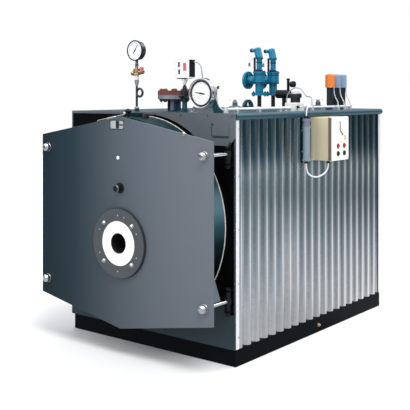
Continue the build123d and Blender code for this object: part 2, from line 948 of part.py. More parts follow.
# Clamp rods, with an eye on the pin at the left
rod_front_y = plate_front_y - rod_in_nut
with BuildPart() as clamp_rods:
    for z in (clamp_low_z, clamp_high_z):
        with BuildSketch(Plane(origin=(-clamp_x, rod_front_y, z), z_dir=(0, 1, 0))):
            Circle(rod_radius)
        extrude(amount=pin_y - eye_radius / 2 - rod_front_y)
        with BuildSketch(Plane.XY.offset(z - eye_height / 2)):
            with Locations((-clamp_x, pin_y)):
                Circle(eye_radius)
        extrude(amount=eye_height)
        with BuildSketch(Plane.XY.offset(z - eye_height / 2)):
            with Locations((-clamp_x, pin_y)):
                Circle(pin_radius + pin_clearance)
        extrude(amount=eye_height, mode=Mode.SUBTRACT)
        with BuildSketch(Plane(origin=(clamp_x, rod_front_y, z), z_dir=(0, 1, 0))):
            Circle(rod_radius)
        extrude(amount=pin_y + rod_past_trunnion - rod_front_y)
clamp_rods.part.label = "clamp_rods"

# Domed nuts on the rods
with BuildPart() as clamp_nuts:
    for side in (-1, 1):
        for z in (clamp_low_z, clamp_high_z):
            turned(forward(side * clamp_x, plate_front_y, z), spool([(nut_radius, nut_length)]))
    fillet(clamp_nuts.edges().filter_by(GeomType.CIRCLE).group_by(Axis.Y)[0], radius=nut_length / 2)
    with BuildSketch(front_plane(plate_front_y)):
        for side in (-1, 1):
            for z in (clamp_low_z, clamp_high_z):
                with Locations((side * clamp_x, z)):
                    Circle(rod_radius + seat_gap)
    extrude(amount=rod_in_nut + seat_gap, mode=Mode.SUBTRACT)
clamp_nuts.part.label = "clamp_nuts"


def cut_by_shell():
    """Cope the foot of a stub to the shell that it stands on."""
    with BuildSketch(front_plane(rear_y)) as shell_section:
        with Locations((0, shell_centre_z)):
            Circle(shell_radius + seat_gap)
    extrude(shell_section.sketch, amount=casing_length, mode=Mode.SUBTRACT)


# Steam outlet stub with its flange
outlet_place_y = from_front(outlet_y)
outlet_joint_z = casing_height + outlet_rise
with BuildPart() as steam_outlet:
    foot = crown_z - shell_wall
    turned(
        upright(0, outlet_place_y, foot),
        spool(
            [
                (outlet_pipe_radius, outlet_joint_z - outlet_flange_thickness - foot),
                (outlet_flange_radius, outlet_flange_thickness),
            ]
        ),
    )
    with BuildSketch(Plane.XY.offset(outlet_joint_z)):
        with Locations((0, outlet_place_y)):
            Circle(outlet_pipe_radius - outlet_pipe_wall)
            with PolarLocations(outlet_bolt_circle / 2, outlet_bolt_count):
                Circle(outlet_bolt_radius)
    extrude(amount=foot - outlet_joint_z, mode=Mode.SUBTRACT)
    cut_by_shell()
steam_outlet.part.label = "steam_outlet"

with BuildPart() as counter_flange:
    with BuildSketch(Plane.XY.offset(outlet_joint_z)):
        with Locations((0, outlet_place_y)):
            Circle(counter_flange_radius)
            Circle(outlet_bore_radius, mode=Mode.SUBTRACT)
            with PolarLocations(outlet_bolt_circle / 2, outlet_bolt_count):
                Circle(outlet_bolt_radius, mode=Mode.SUBTRACT)
    extrude(amount=counter_flange_thickness)
counter_flange.part.label = "counter_flange"

# Gauge siphon: a steel pipe with one ring turn
siphon_place_y = from_front(siphon_y)
loop_z = casing_height + siphon_loop_rise
siphon_top = casing_height + siphon_rise
with BuildPart() as gauge_siphon:
    turned(
        upright(siphon_x, siphon_place_y, casing_height),
        spool(
            [
                (siphon_base_radius, siphon_base_height),
                (siphon_pipe_radius, siphon_rise - siphon_base_height - siphon_nut_height),
                (siphon_nut_radius, siphon_nut_height),
            ]
        ),
    )
    loop_x = siphon_x + siphon_loop_radius
    with BuildSketch(Plane(origin=(loop_x, siphon_place_y, loop_z), z_dir=(0, 0, 1))):
        with Locations((siphon_loop_radius, 0)):
            Circle(siphon_pipe_radius)
    revolve(axis=Axis((loop_x, siphon_place_y, loop_z), (0, 1, 0)))
gauge_siphon.part.label = "gauge_siphon"

# Gauge cock with its handle to the right
cock_top = siphon_top + cock_height
with BuildPart() as gauge_cock:
    stem = (cock_height - cock_body_height) / 2
    turned(
        upright(siphon_x, siphon_place_y, siphon_top),
        spool([(cock_radius, stem), (cock_body_radius, cock_body_height), (cock_radius, stem)]),
    )
    handle_z = siphon_top + cock_height / 2
    turned(
        outward(siphon_x, siphon_place_y, handle_z),
        spool([(cock_handle_radius, cock_handle_length), (cock_handle_radius * 2, cock_handle_radius)]),
    )
gauge_cock.part.label = "gauge_cock"

# Pressure gauge, facing the front
gauge_centre_z = cock_top + gauge_stem + gauge_radius
with BuildPart() as pressure_gauge:
    turned(
        forward(siphon_x, siphon_place_y + gauge_depth / 2, gauge_centre_z),
        [
            (0, 0),
            (gauge_radius - gauge_bezel, 0),
            (gauge_radius - gauge_bezel, gauge_depth - gauge_bezel_depth),
            (gauge_radius, gauge_depth - gauge_bezel_depth),
            (gauge_radius, gauge_depth),
            (gauge_radius - gauge_bezel, gauge_depth),
            (gauge_radius - gauge_bezel, gauge_depth - gauge_bezel / 2),
            (0, gauge_depth - gauge_bezel / 2),
        ],
    )
    with BuildSketch(Plane.XY.offset(cock_top)):
        with Locations((siphon_x, siphon_place_y)):
            Circle(gauge_stem_radius)
    extrude(amount=gauge_stem + 2 * gauge_bezel)
pressure_gauge.part.label = "pressure_gauge"

# Manifold under the pressure switch
switch_place_y = from_front(switch_y)
switch_bottom_z = casing_height + switch_bottom
with BuildPart() as switch_manifold:
    turned(
        upright(switch_x, switch_place_y, casing_height),
        spool(
            [
                (manifold_foot_radius, manifold_foot_height),
                (manifold_pipe_radius, manifold_pipe_height - manifold_foot_height),
                (manifold_radius, manifold_rise - manifold_pipe_height),
                (manifold_nut_radius, manifold_nut_height),
                (manifold_stem_radius, switch_bottom - manifold_rise - manifold_nut_height),
            ]
        ),
    )
    turned(
        forward(switch_x, switch_place_y, casing_height + (manifold_pipe_height + manifold_rise) / 2),
        spool([(manifold_arm_radius, manifold_arm_length)]),
    )
switch_manifold.part.label = "switch_manifold"

with BuildPart() as pressure_switch:
    with BuildSketch(Plane.XY.offset(switch_bottom_z)):
        with Locations((switch_x, switch_place_y)):
            RectangleRounded(switch_width, switch_depth, switch_edge)
    extrude(amount=switch_height)
    chamfer(pressure_switch.faces().sort_by(Axis.Z)[-1].edges(), length=switch_edge / 2)
pressure_switch.part.label = "pressure_switch"

# Large dial on its bent plate
dial_place_y = from_front(dial_y)
dial_centre_z = casing_height + dial_rise
with BuildPart() as dial_gauge:
    turned(
        forward(dial_x, dial_place_y, dial_centre_z),
        [
            (0, 0),
            (dial_radius - dial_bezel, 0),
            (dial_radius - dial_bezel, dial_depth - dial_bezel_depth),
            (dial_radius, dial_depth - dial_bezel_depth),
            (dial_radius, dial_depth),
            (dial_radius - dial_bezel, dial_depth),
            (dial_radius - dial_bezel, dial_depth - dial_bezel / 2),
            (0, dial_depth - dial_bezel / 2),
        ],
    )
    with BuildSketch(Plane.XY.offset(casing_height)):
        with Locations((dial_x, dial_place_y + dial_foot_depth / 2)):
            Rectangle(dial_plate_width + 2 * dial_flare, dial_foot_depth)
    extrude(amount=dial_plate_thickness)
    # Upright plate with flared sides
    near = dial_plate_width / 2
    far = near + dial_flare
    bend = near + dial_flare * dial_flare_share
    flare_top = casing_height + dial_flare_height
    bend_z = casing_height + dial_flare_height * dial_flare_share
    plate_top = casing_height + dial_plate_height
    with BuildSketch(front_plane(dial_place_y + dial_plate_thickness)):
        with BuildLine():
            Line((dial_x - far, casing_height), (dial_x + far, casing_height))
            ThreePointArc((dial_x + far, casing_height), (dial_x + bend, bend_z), (dial_x + near, flare_top))
            Polyline(
                (dial_x + near, flare_top),
                (dial_x + near, plate_top),
                (dial_x - near, plate_top),
                (dial_x - near, flare_top),
            )
            ThreePointArc((dial_x - near, flare_top), (dial_x - bend, bend_z), (dial_x - far, casing_height))
        make_face()
    extrude(amount=dial_plate_thickness)
    plug_z = dial_centre_z + dial_plug_rise
    with BuildSketch(Plane.XY.offset(plug_z)):
        plug_x = dial_x + dial_plug_x - dial_plug_width / 2 + dial_plug_lead
        with Locations((plug_x, dial_place_y + dial_plug_depth / 2)):
            Rectangle(dial_plug_width, dial_plug_depth)
    extrude(amount=dial_plug_height)
dial_gauge.part.label = "dial_gauge"

# Conduit along the roof's right edge, with its clips, tees and box
conduit_z = casing_height + conduit_z_rise
conduit_start_y = from_front(conduit_start)
junction_y = along(junction_place_share)
junction_end_y = junction_y + junction_length
feed_tee_y = along(feed_tee_share)
trunk_end_y = electrode_ys[-1] + electrode_pitch / 2 + trunk_tail
with BuildPart() as conduit_run:
    with BuildSketch(Plane(origin=(conduit_x, conduit_start_y, conduit_z), z_dir=(0, 1, 0))):
        Circle(conduit_radius)
    extrude(amount=junction_y - conduit_start_y)
    for share in conduit_clip_shares:
        clip_y = conduit_start_y + share * (junction_y - conduit_start_y)
        with BuildSketch(front_plane(clip_y)):
            with Locations((conduit_x, conduit_z)):
                Circle(conduit_radius + conduit_clip_margin)
            with Locations((conduit_x, casing_height + conduit_z_rise / 2)):
                Rectangle(2 * (conduit_radius + conduit_clip_margin), conduit_z_rise)
        extrude(amount=conduit_clip_width)
    # Elbow at the front end, with its port to the left
    turned(
        upright(conduit_x, conduit_start_y, casing_height),
        spool([(elbow_radius, elbow_height)]),
    )
    # Branch from the box to the level electrodes
    with BuildSketch(Plane(origin=(conduit_x, junction_end_y, conduit_z), z_dir=(0, 1, 0))):
        Circle(trunk_radius)
    extrude(amount=trunk_end_y - junction_end_y)
    for y in [feed_tee_y] + [y + electrode_pitch / 2 for y in electrode_ys]:
        with BuildSketch(Plane.XY.offset(casing_height)):
            with Locations((conduit_x, y)):
                Circle(tee_radius)
        extrude(amount=conduit_z_rise + tee_height)
conduit_run.part.label = "conduit_run"

with BuildPart() as junction_box:
    with BuildSketch(Plane.XY.offset(casing_height)):
        with Locations((conduit_x, (junction_y + junction_end_y) / 2)):
            RectangleRounded(junction_width, junction_length, junction_edge)
    extrude(amount=junction_height)
    chamfer(junction_box.faces().sort_by(Axis.Z)[-1].edges(), length=junction_edge / 2)
junction_box.part.label = "junction_box"

# Safety valves: body, bonnet and lever
valve_flange_z = casing_height + valve_stub_rise
valve_body_z = valve_flange_z + valve_flange_thickness + valve_neck_height
valve_outlet_z = valve_body_z + valve_outlet_rise
bonnet_base_z = valve_body_z + valve_body_height + valve_bonnet_flange_thickness
with BuildPart() as valve_bodies:
    for y in valve_ys:
        foot = crown_z - shell_wall
        turned(
            upright(0, y, foot),
            spool(
                [
                    (valve_stub_radius, valve_flange_z - foot),
                    (valve_flange_radius, valve_flange_thickness),
                    (valve_neck_radius, valve_neck_height),
                    (valve_body_radius, valve_body_height),
                    (valve_bonnet_flange, valve_bonnet_flange_thickness),
                ]
            ),
        )
        turned(
            inward(0, y, valve_outlet_z),
            spool(
                [
                    (valve_outlet_radius, valve_outlet_reach - valve_outlet_thickness),
                    (valve_outlet_flange, valve_outlet_thickness),
                ]
            ),
        )
        turned(
            inward(-valve_body_radius, y, valve_outlet_z),
            spool([(valve_outlet_bore, valve_outlet_reach - valve_body_radius)]),
            mode=Mode.SUBTRACT,
        )
    cut_by_shell()
valve_bodies.part.label = "valve_bodies"

# Bonnets: a straight post, then a cap that leans to the left
cap_base_z = bonnet_base_z + valve_bonnet_height
lean = radians(valve_cap_lean_angle)
cap_top_x = -valve_cap_height * sin(lean)
cap_top_z = cap_base_z + valve_cap_collar + valve_cap_height * cos(lean)
boss_z = cap_top_z - valve_boss_drop
lever_pin_z = cap_base_z + valve_cap_collar / 2
lever_x = -valve_pin_reach
with BuildPart() as valve_bonnets:
    for y in valve_ys:
        turned(
            upright(0, y, bonnet_base_z),
            spool([(valve_bonnet_radius, valve_bonnet_height), (valve_cap_radius, valve_cap_collar)]),
        )
        leaning = Plane(
            origin=(0, y, lever_pin_z),
            x_dir=(cos(lean), 0, sin(lean)),
            z_dir=(0, -1, 0),
        )
        shoulder = valve_cap_radius - valve_cap_step
        crown = shoulder * valve_cap_crown_share
        turned(
            leaning,
            [
                (0, 0),
                (shoulder, 0),
                (shoulder, valve_cap_height - shoulder + crown),
                (crown, valve_cap_height),
                (0, valve_cap_height),
            ],
        )
        turned(
            inward(cap_top_x, y, boss_z),
            spool([(valve_boss_radius, valve_boss_length)]),
        )
        turned(
            inward(0, y, lever_pin_z),
            spool([(valve_pin_radius, valve_pin_reach)]),
        )
valve_bonnets.part.label = "valve_bonnets"

# Lifting levers, hung from the pins on the left
with BuildPart() as valve_levers:
    for y in valve_ys:
        lever_plane = Plane(
            origin=(lever_x - valve_lever_thickness, y, 0),
            x_dir=(0, 1, 0),
            z_dir=(1, 0, 0),
        )
        with BuildSketch(lever_plane):
            with Locations((0, lever_pin_z + valve_lever_width / 2 - valve_lever_drop / 2)):
                SlotOverall(valve_lever_drop, valve_lever_width, rotation=90)
        extrude(amount=valve_lever_thickness - seat_gap)
valve_levers.part.label = "valve_levers"

# Feed valve: pipe, body, post with side knob, and the drive beside it
feed_place_y = along(feed_place_share)
feed_body_z = casing_height + feed_rise + feed_body_radius
feed_post_x = feed_x + feed_post_offset
with BuildPart() as feed_valve:
    turned(
        upright(feed_x, feed_place_y, casing_height),
        spool([(feed_pipe_radius, feed_rise + feed_body_radius)]),
    )
    turned(
        outward(feed_x - feed_body_reach, feed_place_y, feed_body_z),
        spool([(feed_body_radius, feed_body_length)]),
    )
    turned(
        upright(feed_post_x, feed_place_y, feed_body_z),
        spool([(feed_post_radius, feed_post_height)]),
    )
    turned(
        outward(feed_post_x, feed_place_y, feed_body_z + feed_spindle_rise),
        spool([(feed_spindle_radius, feed_spindle_length), (feed_knob_radius, feed_knob_depth)]),
    )
feed_valve.part.label = "feed_valve"

feed_drive_x = feed_x + feed_drive_offset
with BuildPart() as feed_drive:
    turned(
        upright(feed_drive_x, feed_place_y, casing_height),
        spool(
            [
                (feed_pipe_radius, feed_drive_lift),
                (feed_drive_radius, feed_drive_height),
                (feed_drive_flange_radius, feed_drive_flange),
            ]
        ),
    )
feed_drive.part.label = "feed_drive"

# Level electrodes: posts and heads
head_bottom = casing_height + electrode_post_height + electrode_socket
with BuildPart() as electrode_posts:
    for y in electrode_ys:
        turned(
            upright(electrode_x, y, casing_height),
            spool(
                [
                    (electrode_foot_radius, electrode_foot_height),
                    (electrode_post_radius, head_bottom - casing_height - electrode_foot_height),
                ]
            ),
        )
electrode_posts.part.label = "electrode_posts"


with BuildPart() as electrode_heads:
    for y in electrode_ys:
        turned(
            upright(electrode_x, y, head_bottom),
            [
                (0, 0),
                (electrode_head_radius, 0),
                (electrode_head_radius, electrode_head_height - electrode_head_edge),
                (electrode_head_radius - electrode_head_edge, electrode_head_height),
                (0, electrode_head_height),
            ],
        )
electrode_heads.part.label = "electrode_heads"

# Lifting eyes: arched plates with a hole
with BuildPart() as lifting_eyes:
    for share in lifting_place_shares:
        with BuildSketch(Plane(origin=(0, along(share), casing_height), x_dir=(0, 1, 0), z_dir=(1, 0, 0))):
            with BuildLine():
                base_line = Line((-lifting_width / 2, 0), (lifting_width / 2, 0))
                ThreePointArc(base_line @ 1, (0, lifting_height), base_line @ 0)
            make_face()
            with Locations((0, lifting_height / 2)):
                Circle(lifting_hole_radius, mode=Mode.SUBTRACT)
        extrude(amount=lifting_thickness / 2, both=True)
lifting_eyes.part.label = "lifting_eyes"

with BuildPart() as inspection_caps:
    for x_share, share in cap_place_shares:
        turned(
            upright(x_share * half_width, along(share), casing_height),
            [
                (0, 0),
                (cap_radius, 0),
                (cap_radius, cap_rim),
                (cap_radius * 2 / 3, cap_height * 3 / 4),
                (cap_knob_radius, cap_height),
                (cap_knob_radius, cap_height + cap_knob_height / 2),
                (cap_knob_radius / 2, cap_height + cap_knob_height),
                (0, cap_height + cap_knob_height),
            ],
        )
inspection_caps.part.label = "inspection_caps"

# Control box on the right side
control_place_y = along(control_place_share)
control_middle_y = control_place_y + control_length / 2
control_middle_z = control_bottom + control_height / 2
control_face_x = half_width + control_depth
side_plane = Plane(origin=(half_width, control_middle_y, control_middle_z), x_dir=(0, 1, 0), z_dir=(1, 0, 0))
with BuildPart() as control_box:
    with BuildSketch(side_plane):
        RectangleRounded(control_length, control_height, control_edge)
    extrude(amount=control_depth)
control_box.part.label = "control_box"

with BuildPart() as control_cover:
    with BuildSketch(side_plane.offset(control_depth + cover_seam)):
        RectangleRounded(control_length + cover_margin, control_height + cover_margin, cover_edge)
    extrude(amount=cover_depth)
    chamfer(control_cover.faces().sort_by(Axis.X)[-1].edges(), length=cover_margin)
control_cover.part.label = "control_cover"

# Buttons and switches on the cover
cover_face_x = control_face_x + cover_seam + cover_depth
button_ys = [control_place_y + share * control_length for share in button_y_shares]
button_level = control_bottom + button_level_share * control_height
switch_level = control_bottom + switch_level_share * control_height
with BuildPart() as control_buttons:
    for y in button_ys:
        turned(outward(cover_face_x, y, button_level), spool([(button_radius, button_height)]))
    for y in button_ys:
        with BuildSketch(Plane(origin=(cover_face_x, y, switch_level), x_dir=(0, 1, 0), z_dir=(1, 0, 0))):
            RectangleRounded(switch_knob, switch_knob * 3 / 2, switch_knob / 5)
        extrude(amount=button_height)
control_buttons.part.label = "control_buttons"

# Riser tube in front of the box, clamped to the casing
riser_x = half_width + riser_x_reach
riser_place_y = along(riser_place_share)
with BuildPart() as conduit_riser:
    collar = riser_radius + riser_collar
    plain = riser_length - 3 * riser_collar_height
    turned(
        upright(riser_x, riser_place_y, riser_bottom),
        spool(
            [
                (collar, riser_collar_height),
                (riser_radius, plain * riser_low_share),
                (collar, riser_collar_height),
                (riser_radius, plain * (1 - riser_low_share)),
                (collar, riser_collar_height),
            ]
        ),
    )
    # Lugs that hold it to the casing
    for share in riser_strap_shares:
        with BuildSketch(Plane.XY.offset(riser_bottom + share * riser_length)):
            with Locations(((half_width + seat_gap + riser_x) / 2, riser_place_y)):
                Rectangle(riser_x - half_width - seat_gap, riser_strap_width)
        extrude(amount=riser_strap_height)
conduit_riser.part.label = "conduit_riser"

# Glands where cables leave the riser, the box and the pressure switch
switch_cable_z = switch_bottom_z + switch_cable_share * switch_height
switch_side_x = switch_x + switch_width / 2
roof_gland_x = dial_x - roof_gland_reach
roof_gland_y = dial_place_y + roof_gland_back
feed_gland_x = feed_drive_x - feed_cable_gap
feed_gland_y = feed_place_y - feed_cable_gap
box_gland_y = junction_y + box_gland_share * junction_length
box_gland_z = casing_height + junction_height / 2
loop_end_x = control_face_x - gland_radius - cover_margin
loop_end_y = control_place_y + loop_end_share * control_length
with BuildPart() as cable_glands:
    turned(
        upright(riser_x, riser_place_y, riser_bottom - gland_height),
        spool([(gland_radius, gland_height)]),
    )
    turned(
        upright(loop_end_x, loop_end_y, control_bottom - gland_height),
        spool([(gland_radius, gland_height)]),
    )
    turned(
        outward(switch_side_x, switch_place_y, switch_cable_z),
        spool([(small_gland_radius, gland_height)]),
    )
    turned(
        upright(roof_gland_x, roof_gland_y, casing_height),
        spool([(small_gland_radius, gland_height)]),
    )
    turned(
        upright(feed_gland_x, feed_gland_y, casing_height),
        spool([(small_gland_radius, gland_height)]),
    )
    turned(
        upright(riser_x, riser_place_y, riser_bottom + riser_length),
        spool([(gland_radius, gland_height)]),
    )
    turned(
        outward(conduit_x + junction_width / 2, box_gland_y, box_gland_z),
        spool([(small_gland_radius, gland_height)]),
    )
cable_glands.part.label = "cable_glands"

# Rear smoke box with its end disc in the shell
box_half_width = half_width - smoke_box_inset
box_middle_z = (smoke_box_bottom + smoke_box_top) / 2
box_height = smoke_box_top - smoke_box_bottom
with BuildPart() as smoke_box:
    with BuildSketch(front_plane(rear_y + smoke_box_depth)):
        with Locations((0, box_middle_z)):
            Rectangle(2 * box_half_width, box_height)
    extrude(amount=smoke_box_depth - seat_gap)
    with BuildSketch(front_plane(rear_y)):
        with Locations((0, shell_centre_z)):
            Circle(shell_radius - shell_wall - seat_gap)
    extrude(amount=end_disc_thickness)
    with BuildSketch(front_plane(rear_y)):
        with Locations((0, shell_centre_z)):
            Circle(shell_radius - shell_wall - seat_gap)
    extrude(amount=-2 * seat_gap)
    with BuildSketch(front_plane(rear_y + smoke_box_depth - smoke_box_wall)):
        with Locations((0, box_middle_z)):
            Rectangle(2 * (box_half_width - smoke_box_wall), box_height - 2 * smoke_box_wall)
    extrude(amount=smoke_box_depth - 2 * smoke_box_wall, mode=Mode.SUBTRACT)
    with BuildSketch(front_plane(rear_y + smoke_box_wall)):
        with Locations((0, box_middle_z)):
            Rectangle(2 * (box_half_width - smoke_box_wall), box_height - 2 * smoke_box_wall)
        with Locations((0, shell_centre_z)):
            Circle(shell_radius - shell_wall - end_disc_thickness, mode=Mode.INTERSECT)
    extrude(amount=end_disc_thickness + 2 * smoke_box_wall, mode=Mode.SUBTRACT)
    with BuildSketch(front_plane(rear_y + smoke_box_depth)):
        with Locations((0, box_middle_z)):
            Circle(spigot_radius - spigot_wall)
    extrude(amount=smoke_box_wall, mode=Mode.SUBTRACT)
smoke_box.part.label = "smoke_box"

with BuildPart() as flue_spigot:
    spigot_plane = backward(0, rear_y + smoke_box_depth, box_middle_z)
    turned(
        spigot_plane,
        [
            (spigot_radius - spigot_wall, 0),
            (spigot_radius + spigot_flange, 0),
            (spigot_radius + spigot_flange, spigot_flange_thickness),
            (spigot_radius, spigot_flange_thickness),
            (spigot_radius, spigot_length),
            (spigot_radius - spigot_wall, spigot_length),
        ],
    )
flue_spigot.part.label = "flue_spigot"


def cable(name, points, diameter):
    """Sweep a round cable along straight runs joined by tangent arcs."""
    places = [Vector(*point) for point in points]
    radii = []
    for before, corner, after in zip(places, places[1:], places[2:]):
        run_in = corner - before
        run_out = after - corner
        turn = radians(run_in.get_angle(run_out))
        radii.append(arc_share * min(run_in.length, run_out.length) / tan(turn / 2))
    with BuildPart() as tube:
        with BuildLine() as route:
            FilletPolyline(*places, radius=radii)
        path = route.wire()
        with BuildSketch(Plane(origin=path @ 0, z_dir=path % 0)):
            Circle(diameter / 2)
        sweep(path=path)
    tube.part.label = name
    expected = path.length * pi * diameter**2 / 4
    print(name, "length", round(path.length, 1), "radii", [round(r) for r in radii])
    print(name, "volume share", round(tube.part.volume / expected, 4))
    return tube


# Cable loop from the riser to the control box
loop_diameter = 9
loop_top = riser_bottom - gland_height
loop_box_top = control_bottom - gland_height
loop_points = [
    (riser_x, riser_place_y, loop_top),
    (riser_x, riser_place_y, loop_top - 31),
    (riser_x + 5, riser_place_y + 13, loop_top - 61),
    (riser_x + 22, riser_place_y + 41, loop_top - 78),
    (riser_x + 43, riser_place_y + 75, loop_top - 76),
    (riser_x + 61, riser_place_y + 107, loop_top - 54),
    (loop_end_x, loop_end_y, loop_box_top - 24),
    (loop_end_x, loop_end_y, loop_box_top),
]
loop_cable = cable("loop_cable", loop_points, loop_diameter)

# Grey cable from the pressure switch down behind the dial to the roof
thin_diameter = 7
switch_exit_x = switch_side_x + gland_height
switch_points = [
    (switch_exit_x, switch_place_y, switch_cable_z),
    (switch_exit_x + 19, switch_place_y, switch_cable_z),
    (switch_exit_x + 35, switch_place_y, switch_cable_z - 9),
    (switch_exit_x + 44, switch_place_y + 3, switch_cable_z - 27),
    (roof_gland_x + 1, roof_gland_y - 29, casing_height + 214),
    (roof_gland_x + 3, roof_gland_y - 23, casing_height + 174),
    (roof_gland_x + 3, roof_gland_y - 14, casing_height + 124),
    (roof_gland_x + 1, roof_gland_y - 5, casing_height + 74),
    (roof_gland_x, roof_gland_y, casing_height + 36),
    (roof_gland_x, roof_gland_y, casing_height + gland_height),
]
switch_cable = cable("switch_cable", switch_points, thin_diameter)

# Dark cable from the dial's plug to the conduit's elbow
plug_exit_x = dial_x + dial_plug_x
plug_exit_y = dial_place_y + dial_plug_depth / 2
dial_points = [
    (plug_exit_x, plug_exit_y, plug_z),
    (plug_exit_x, plug_exit_y, plug_z - 26),
    (plug_exit_x + 1.5, conduit_start_y, plug_z - 52),
    (plug_exit_x + 5, conduit_start_y, plug_z - 74),
    (plug_exit_x + 12, conduit_start_y, plug_z - 91),
    (conduit_x - 36, conduit_start_y, conduit_z + 5.5),
    (conduit_x - 24, conduit_start_y, conduit_z + 1),
    (conduit_x - elbow_radius, conduit_start_y, conduit_z),
]
dial_cable = cable("dial_cable", dial_points, thin_diameter)


def electrode_route(y):
    """The way of one electrode's cable from its head to the tee beside it."""
    return [
        (electrode_x + 17.5, y + 17.9, head_bottom),
        (electrode_x + 17.5, y + 17.9, head_bottom - 24),
        (electrode_x + 21, y + 22, head_bottom - 52),
        (electrode_x + 29, y + 30, head_bottom - 74),
        (conduit_x, y + electrode_pitch / 2, head_bottom - 93),
        (conduit_x, y + electrode_pitch / 2, conduit_z + tee_height),
    ]


electrode_cable_1 = cable("electrode_cable_1", electrode_route(electrode_ys[0]), thin_diameter)
electrode_cable_2 = cable("electrode_cable_2", electrode_route(electrode_ys[1]), thin_diameter)
electrode_cable_3 = cable("electrode_cable_3", electrode_route(electrode_ys[2]), thin_diameter)

# Cable from the junction box over the roof's lip into the riser
box_exit_x = conduit_x + junction_width / 2 + gland_height
riser_top = riser_bottom + riser_length + gland_height
riser_points = [
    (box_exit_x, box_gland_y, box_gland_z),
    (box_exit_x + 22, box_gland_y, box_gland_z + 1),
    (roof_half_width - 25, box_gland_y - 14, casing_height + 29),
    (roof_half_width + 3, box_gland_y - 40, casing_height + 28),
    (riser_x - 2, riser_place_y + 13, riser_top + 44),
    (riser_x, riser_place_y, riser_top + 22),
    (riser_x, riser_place_y, riser_top),
]
riser_cable = cable("riser_cable", riser_points, thin_diameter)

# Cable over the feed drive to its tee on the branch
feed_points = [
    (feed_gland_x, feed_gland_y, casing_height + gland_height),
    (feed_gland_x, feed_gland_y, casing_height + 69),
    (feed_gland_x + 11, feed_gland_y + 10, casing_height + 109),
    (feed_drive_x - 3, feed_place_y - 15, casing_height + 136),
    (feed_drive_x + 32, feed_place_y, casing_height + 134),
    (feed_drive_x + 60, feed_place_y - 3, casing_height + 112),
    (conduit_x - 152, feed_tee_y + 172, casing_height + 88),
    (conduit_x - 94, feed_tee_y + 106, casing_height + 80),
    (conduit_x - 38, feed_tee_y + 44, casing_height + 80),
    (conduit_x - 14, feed_tee_y + 16, casing_height + 76),
    (conduit_x, feed_tee_y, casing_height + 56),
    (conduit_x, feed_tee_y, conduit_z + tee_height),
]
feed_cable = cable("feed_cable", feed_points, thin_diameter)

os.makedirs("parts", exist_ok=True)
for piece in (
    base_frame,
    boiler_shell,
    front_tube_plate,
    rear_tube_plate,
    furnace_tube,
    smoke_tubes,
    right_cladding,
    left_cladding,
    corner_trims,
    rear_panel,
    roof_panel,
    front_hood,
    lower_front_panel,
    recess_panels,
    hinge_brackets,
    hinge_pins,
    clamp_trunnions,
    door_plate,
    door_drum,
    door_refractory,
    gasket_rope,
    burner_flange,
    burner_ceramic,
    sight_port,
    clamp_rods,
    clamp_nuts,
    steam_outlet,
    counter_flange,
    gauge_siphon,
    gauge_cock,
    pressure_gauge,
    switch_manifold,
    pressure_switch,
    dial_gauge,
    conduit_run,
    junction_box,
    valve_bodies,
    valve_bonnets,
    valve_levers,
    feed_valve,
    feed_drive,
    electrode_posts,
    electrode_heads,
    lifting_eyes,
    inspection_caps,
    control_box,
    control_cover,
    control_buttons,
    conduit_riser,
    cable_glands,
    smoke_box,
    flue_spigot,
    loop_cable,
    switch_cable,
    dial_cable,
    electrode_cable_1,
    electrode_cable_2,
    electrode_cable_3,
    riser_cable,
    feed_cable,
):
    export_step(piece.part, "parts/" + piece.part.label + ".step")
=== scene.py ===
import math

import bmesh
import bpy
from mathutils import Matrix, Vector


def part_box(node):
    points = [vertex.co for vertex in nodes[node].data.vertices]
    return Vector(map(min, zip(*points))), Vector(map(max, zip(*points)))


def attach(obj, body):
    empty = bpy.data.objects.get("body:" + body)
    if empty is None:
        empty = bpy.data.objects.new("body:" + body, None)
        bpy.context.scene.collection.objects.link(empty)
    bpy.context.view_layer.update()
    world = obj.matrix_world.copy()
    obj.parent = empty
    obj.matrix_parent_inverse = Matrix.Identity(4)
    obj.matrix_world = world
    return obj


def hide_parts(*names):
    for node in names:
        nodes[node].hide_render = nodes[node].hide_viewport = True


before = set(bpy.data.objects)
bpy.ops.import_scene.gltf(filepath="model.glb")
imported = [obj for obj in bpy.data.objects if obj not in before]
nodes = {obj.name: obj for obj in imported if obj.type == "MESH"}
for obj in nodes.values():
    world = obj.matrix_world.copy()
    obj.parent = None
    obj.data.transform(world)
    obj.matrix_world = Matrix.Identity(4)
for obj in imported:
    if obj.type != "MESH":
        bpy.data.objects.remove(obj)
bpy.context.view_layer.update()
scene = bpy.context.scene

# Main sizes of the CAD model that the details sit on, in metres
DOOR_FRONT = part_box("door_plate")[0][1]
DOOR_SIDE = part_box("door_plate")[1][0]
DOOR_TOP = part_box("door_plate")[1][2]
DOOR_PEAK = 0.110
HOOD_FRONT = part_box("front_hood")[0][1]
ROOF_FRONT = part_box("roof_panel")[0][1]
ROOF_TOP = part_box("roof_panel")[1][2]
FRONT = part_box("corner_trims")[0][1]
HALF_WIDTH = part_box("right_cladding")[1][0]
VALLEY_X = 0.573
CORRUGATION = 0.076
SHELL_Z = 0.700
DRUM_TOP = SHELL_Z + 0.554
DRUM_Y = -0.900
ROPE_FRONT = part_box("door_drum")[1][1] - 0.0085
BURNER_Z = 0.593
BURNER_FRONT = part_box("burner_flange")[0][1]
VALVE_YS = (0.269, 0.428)
ELECTRODE_X = 0.438
ELECTRODE_YS = (0.408, 0.485, 0.562)
FEED_X = 0.208
FEED_Y = 0.371
TRUNK_X = 0.474
TRUNK_Z = 1.293
RISER_X = 0.616
RISER_Y = -0.165
GAUGE_X = -0.150
GAUGE_Y = -0.725
SWITCH_Y = -0.712
DIAL_Z = 1.377
HAIR = 0.0004

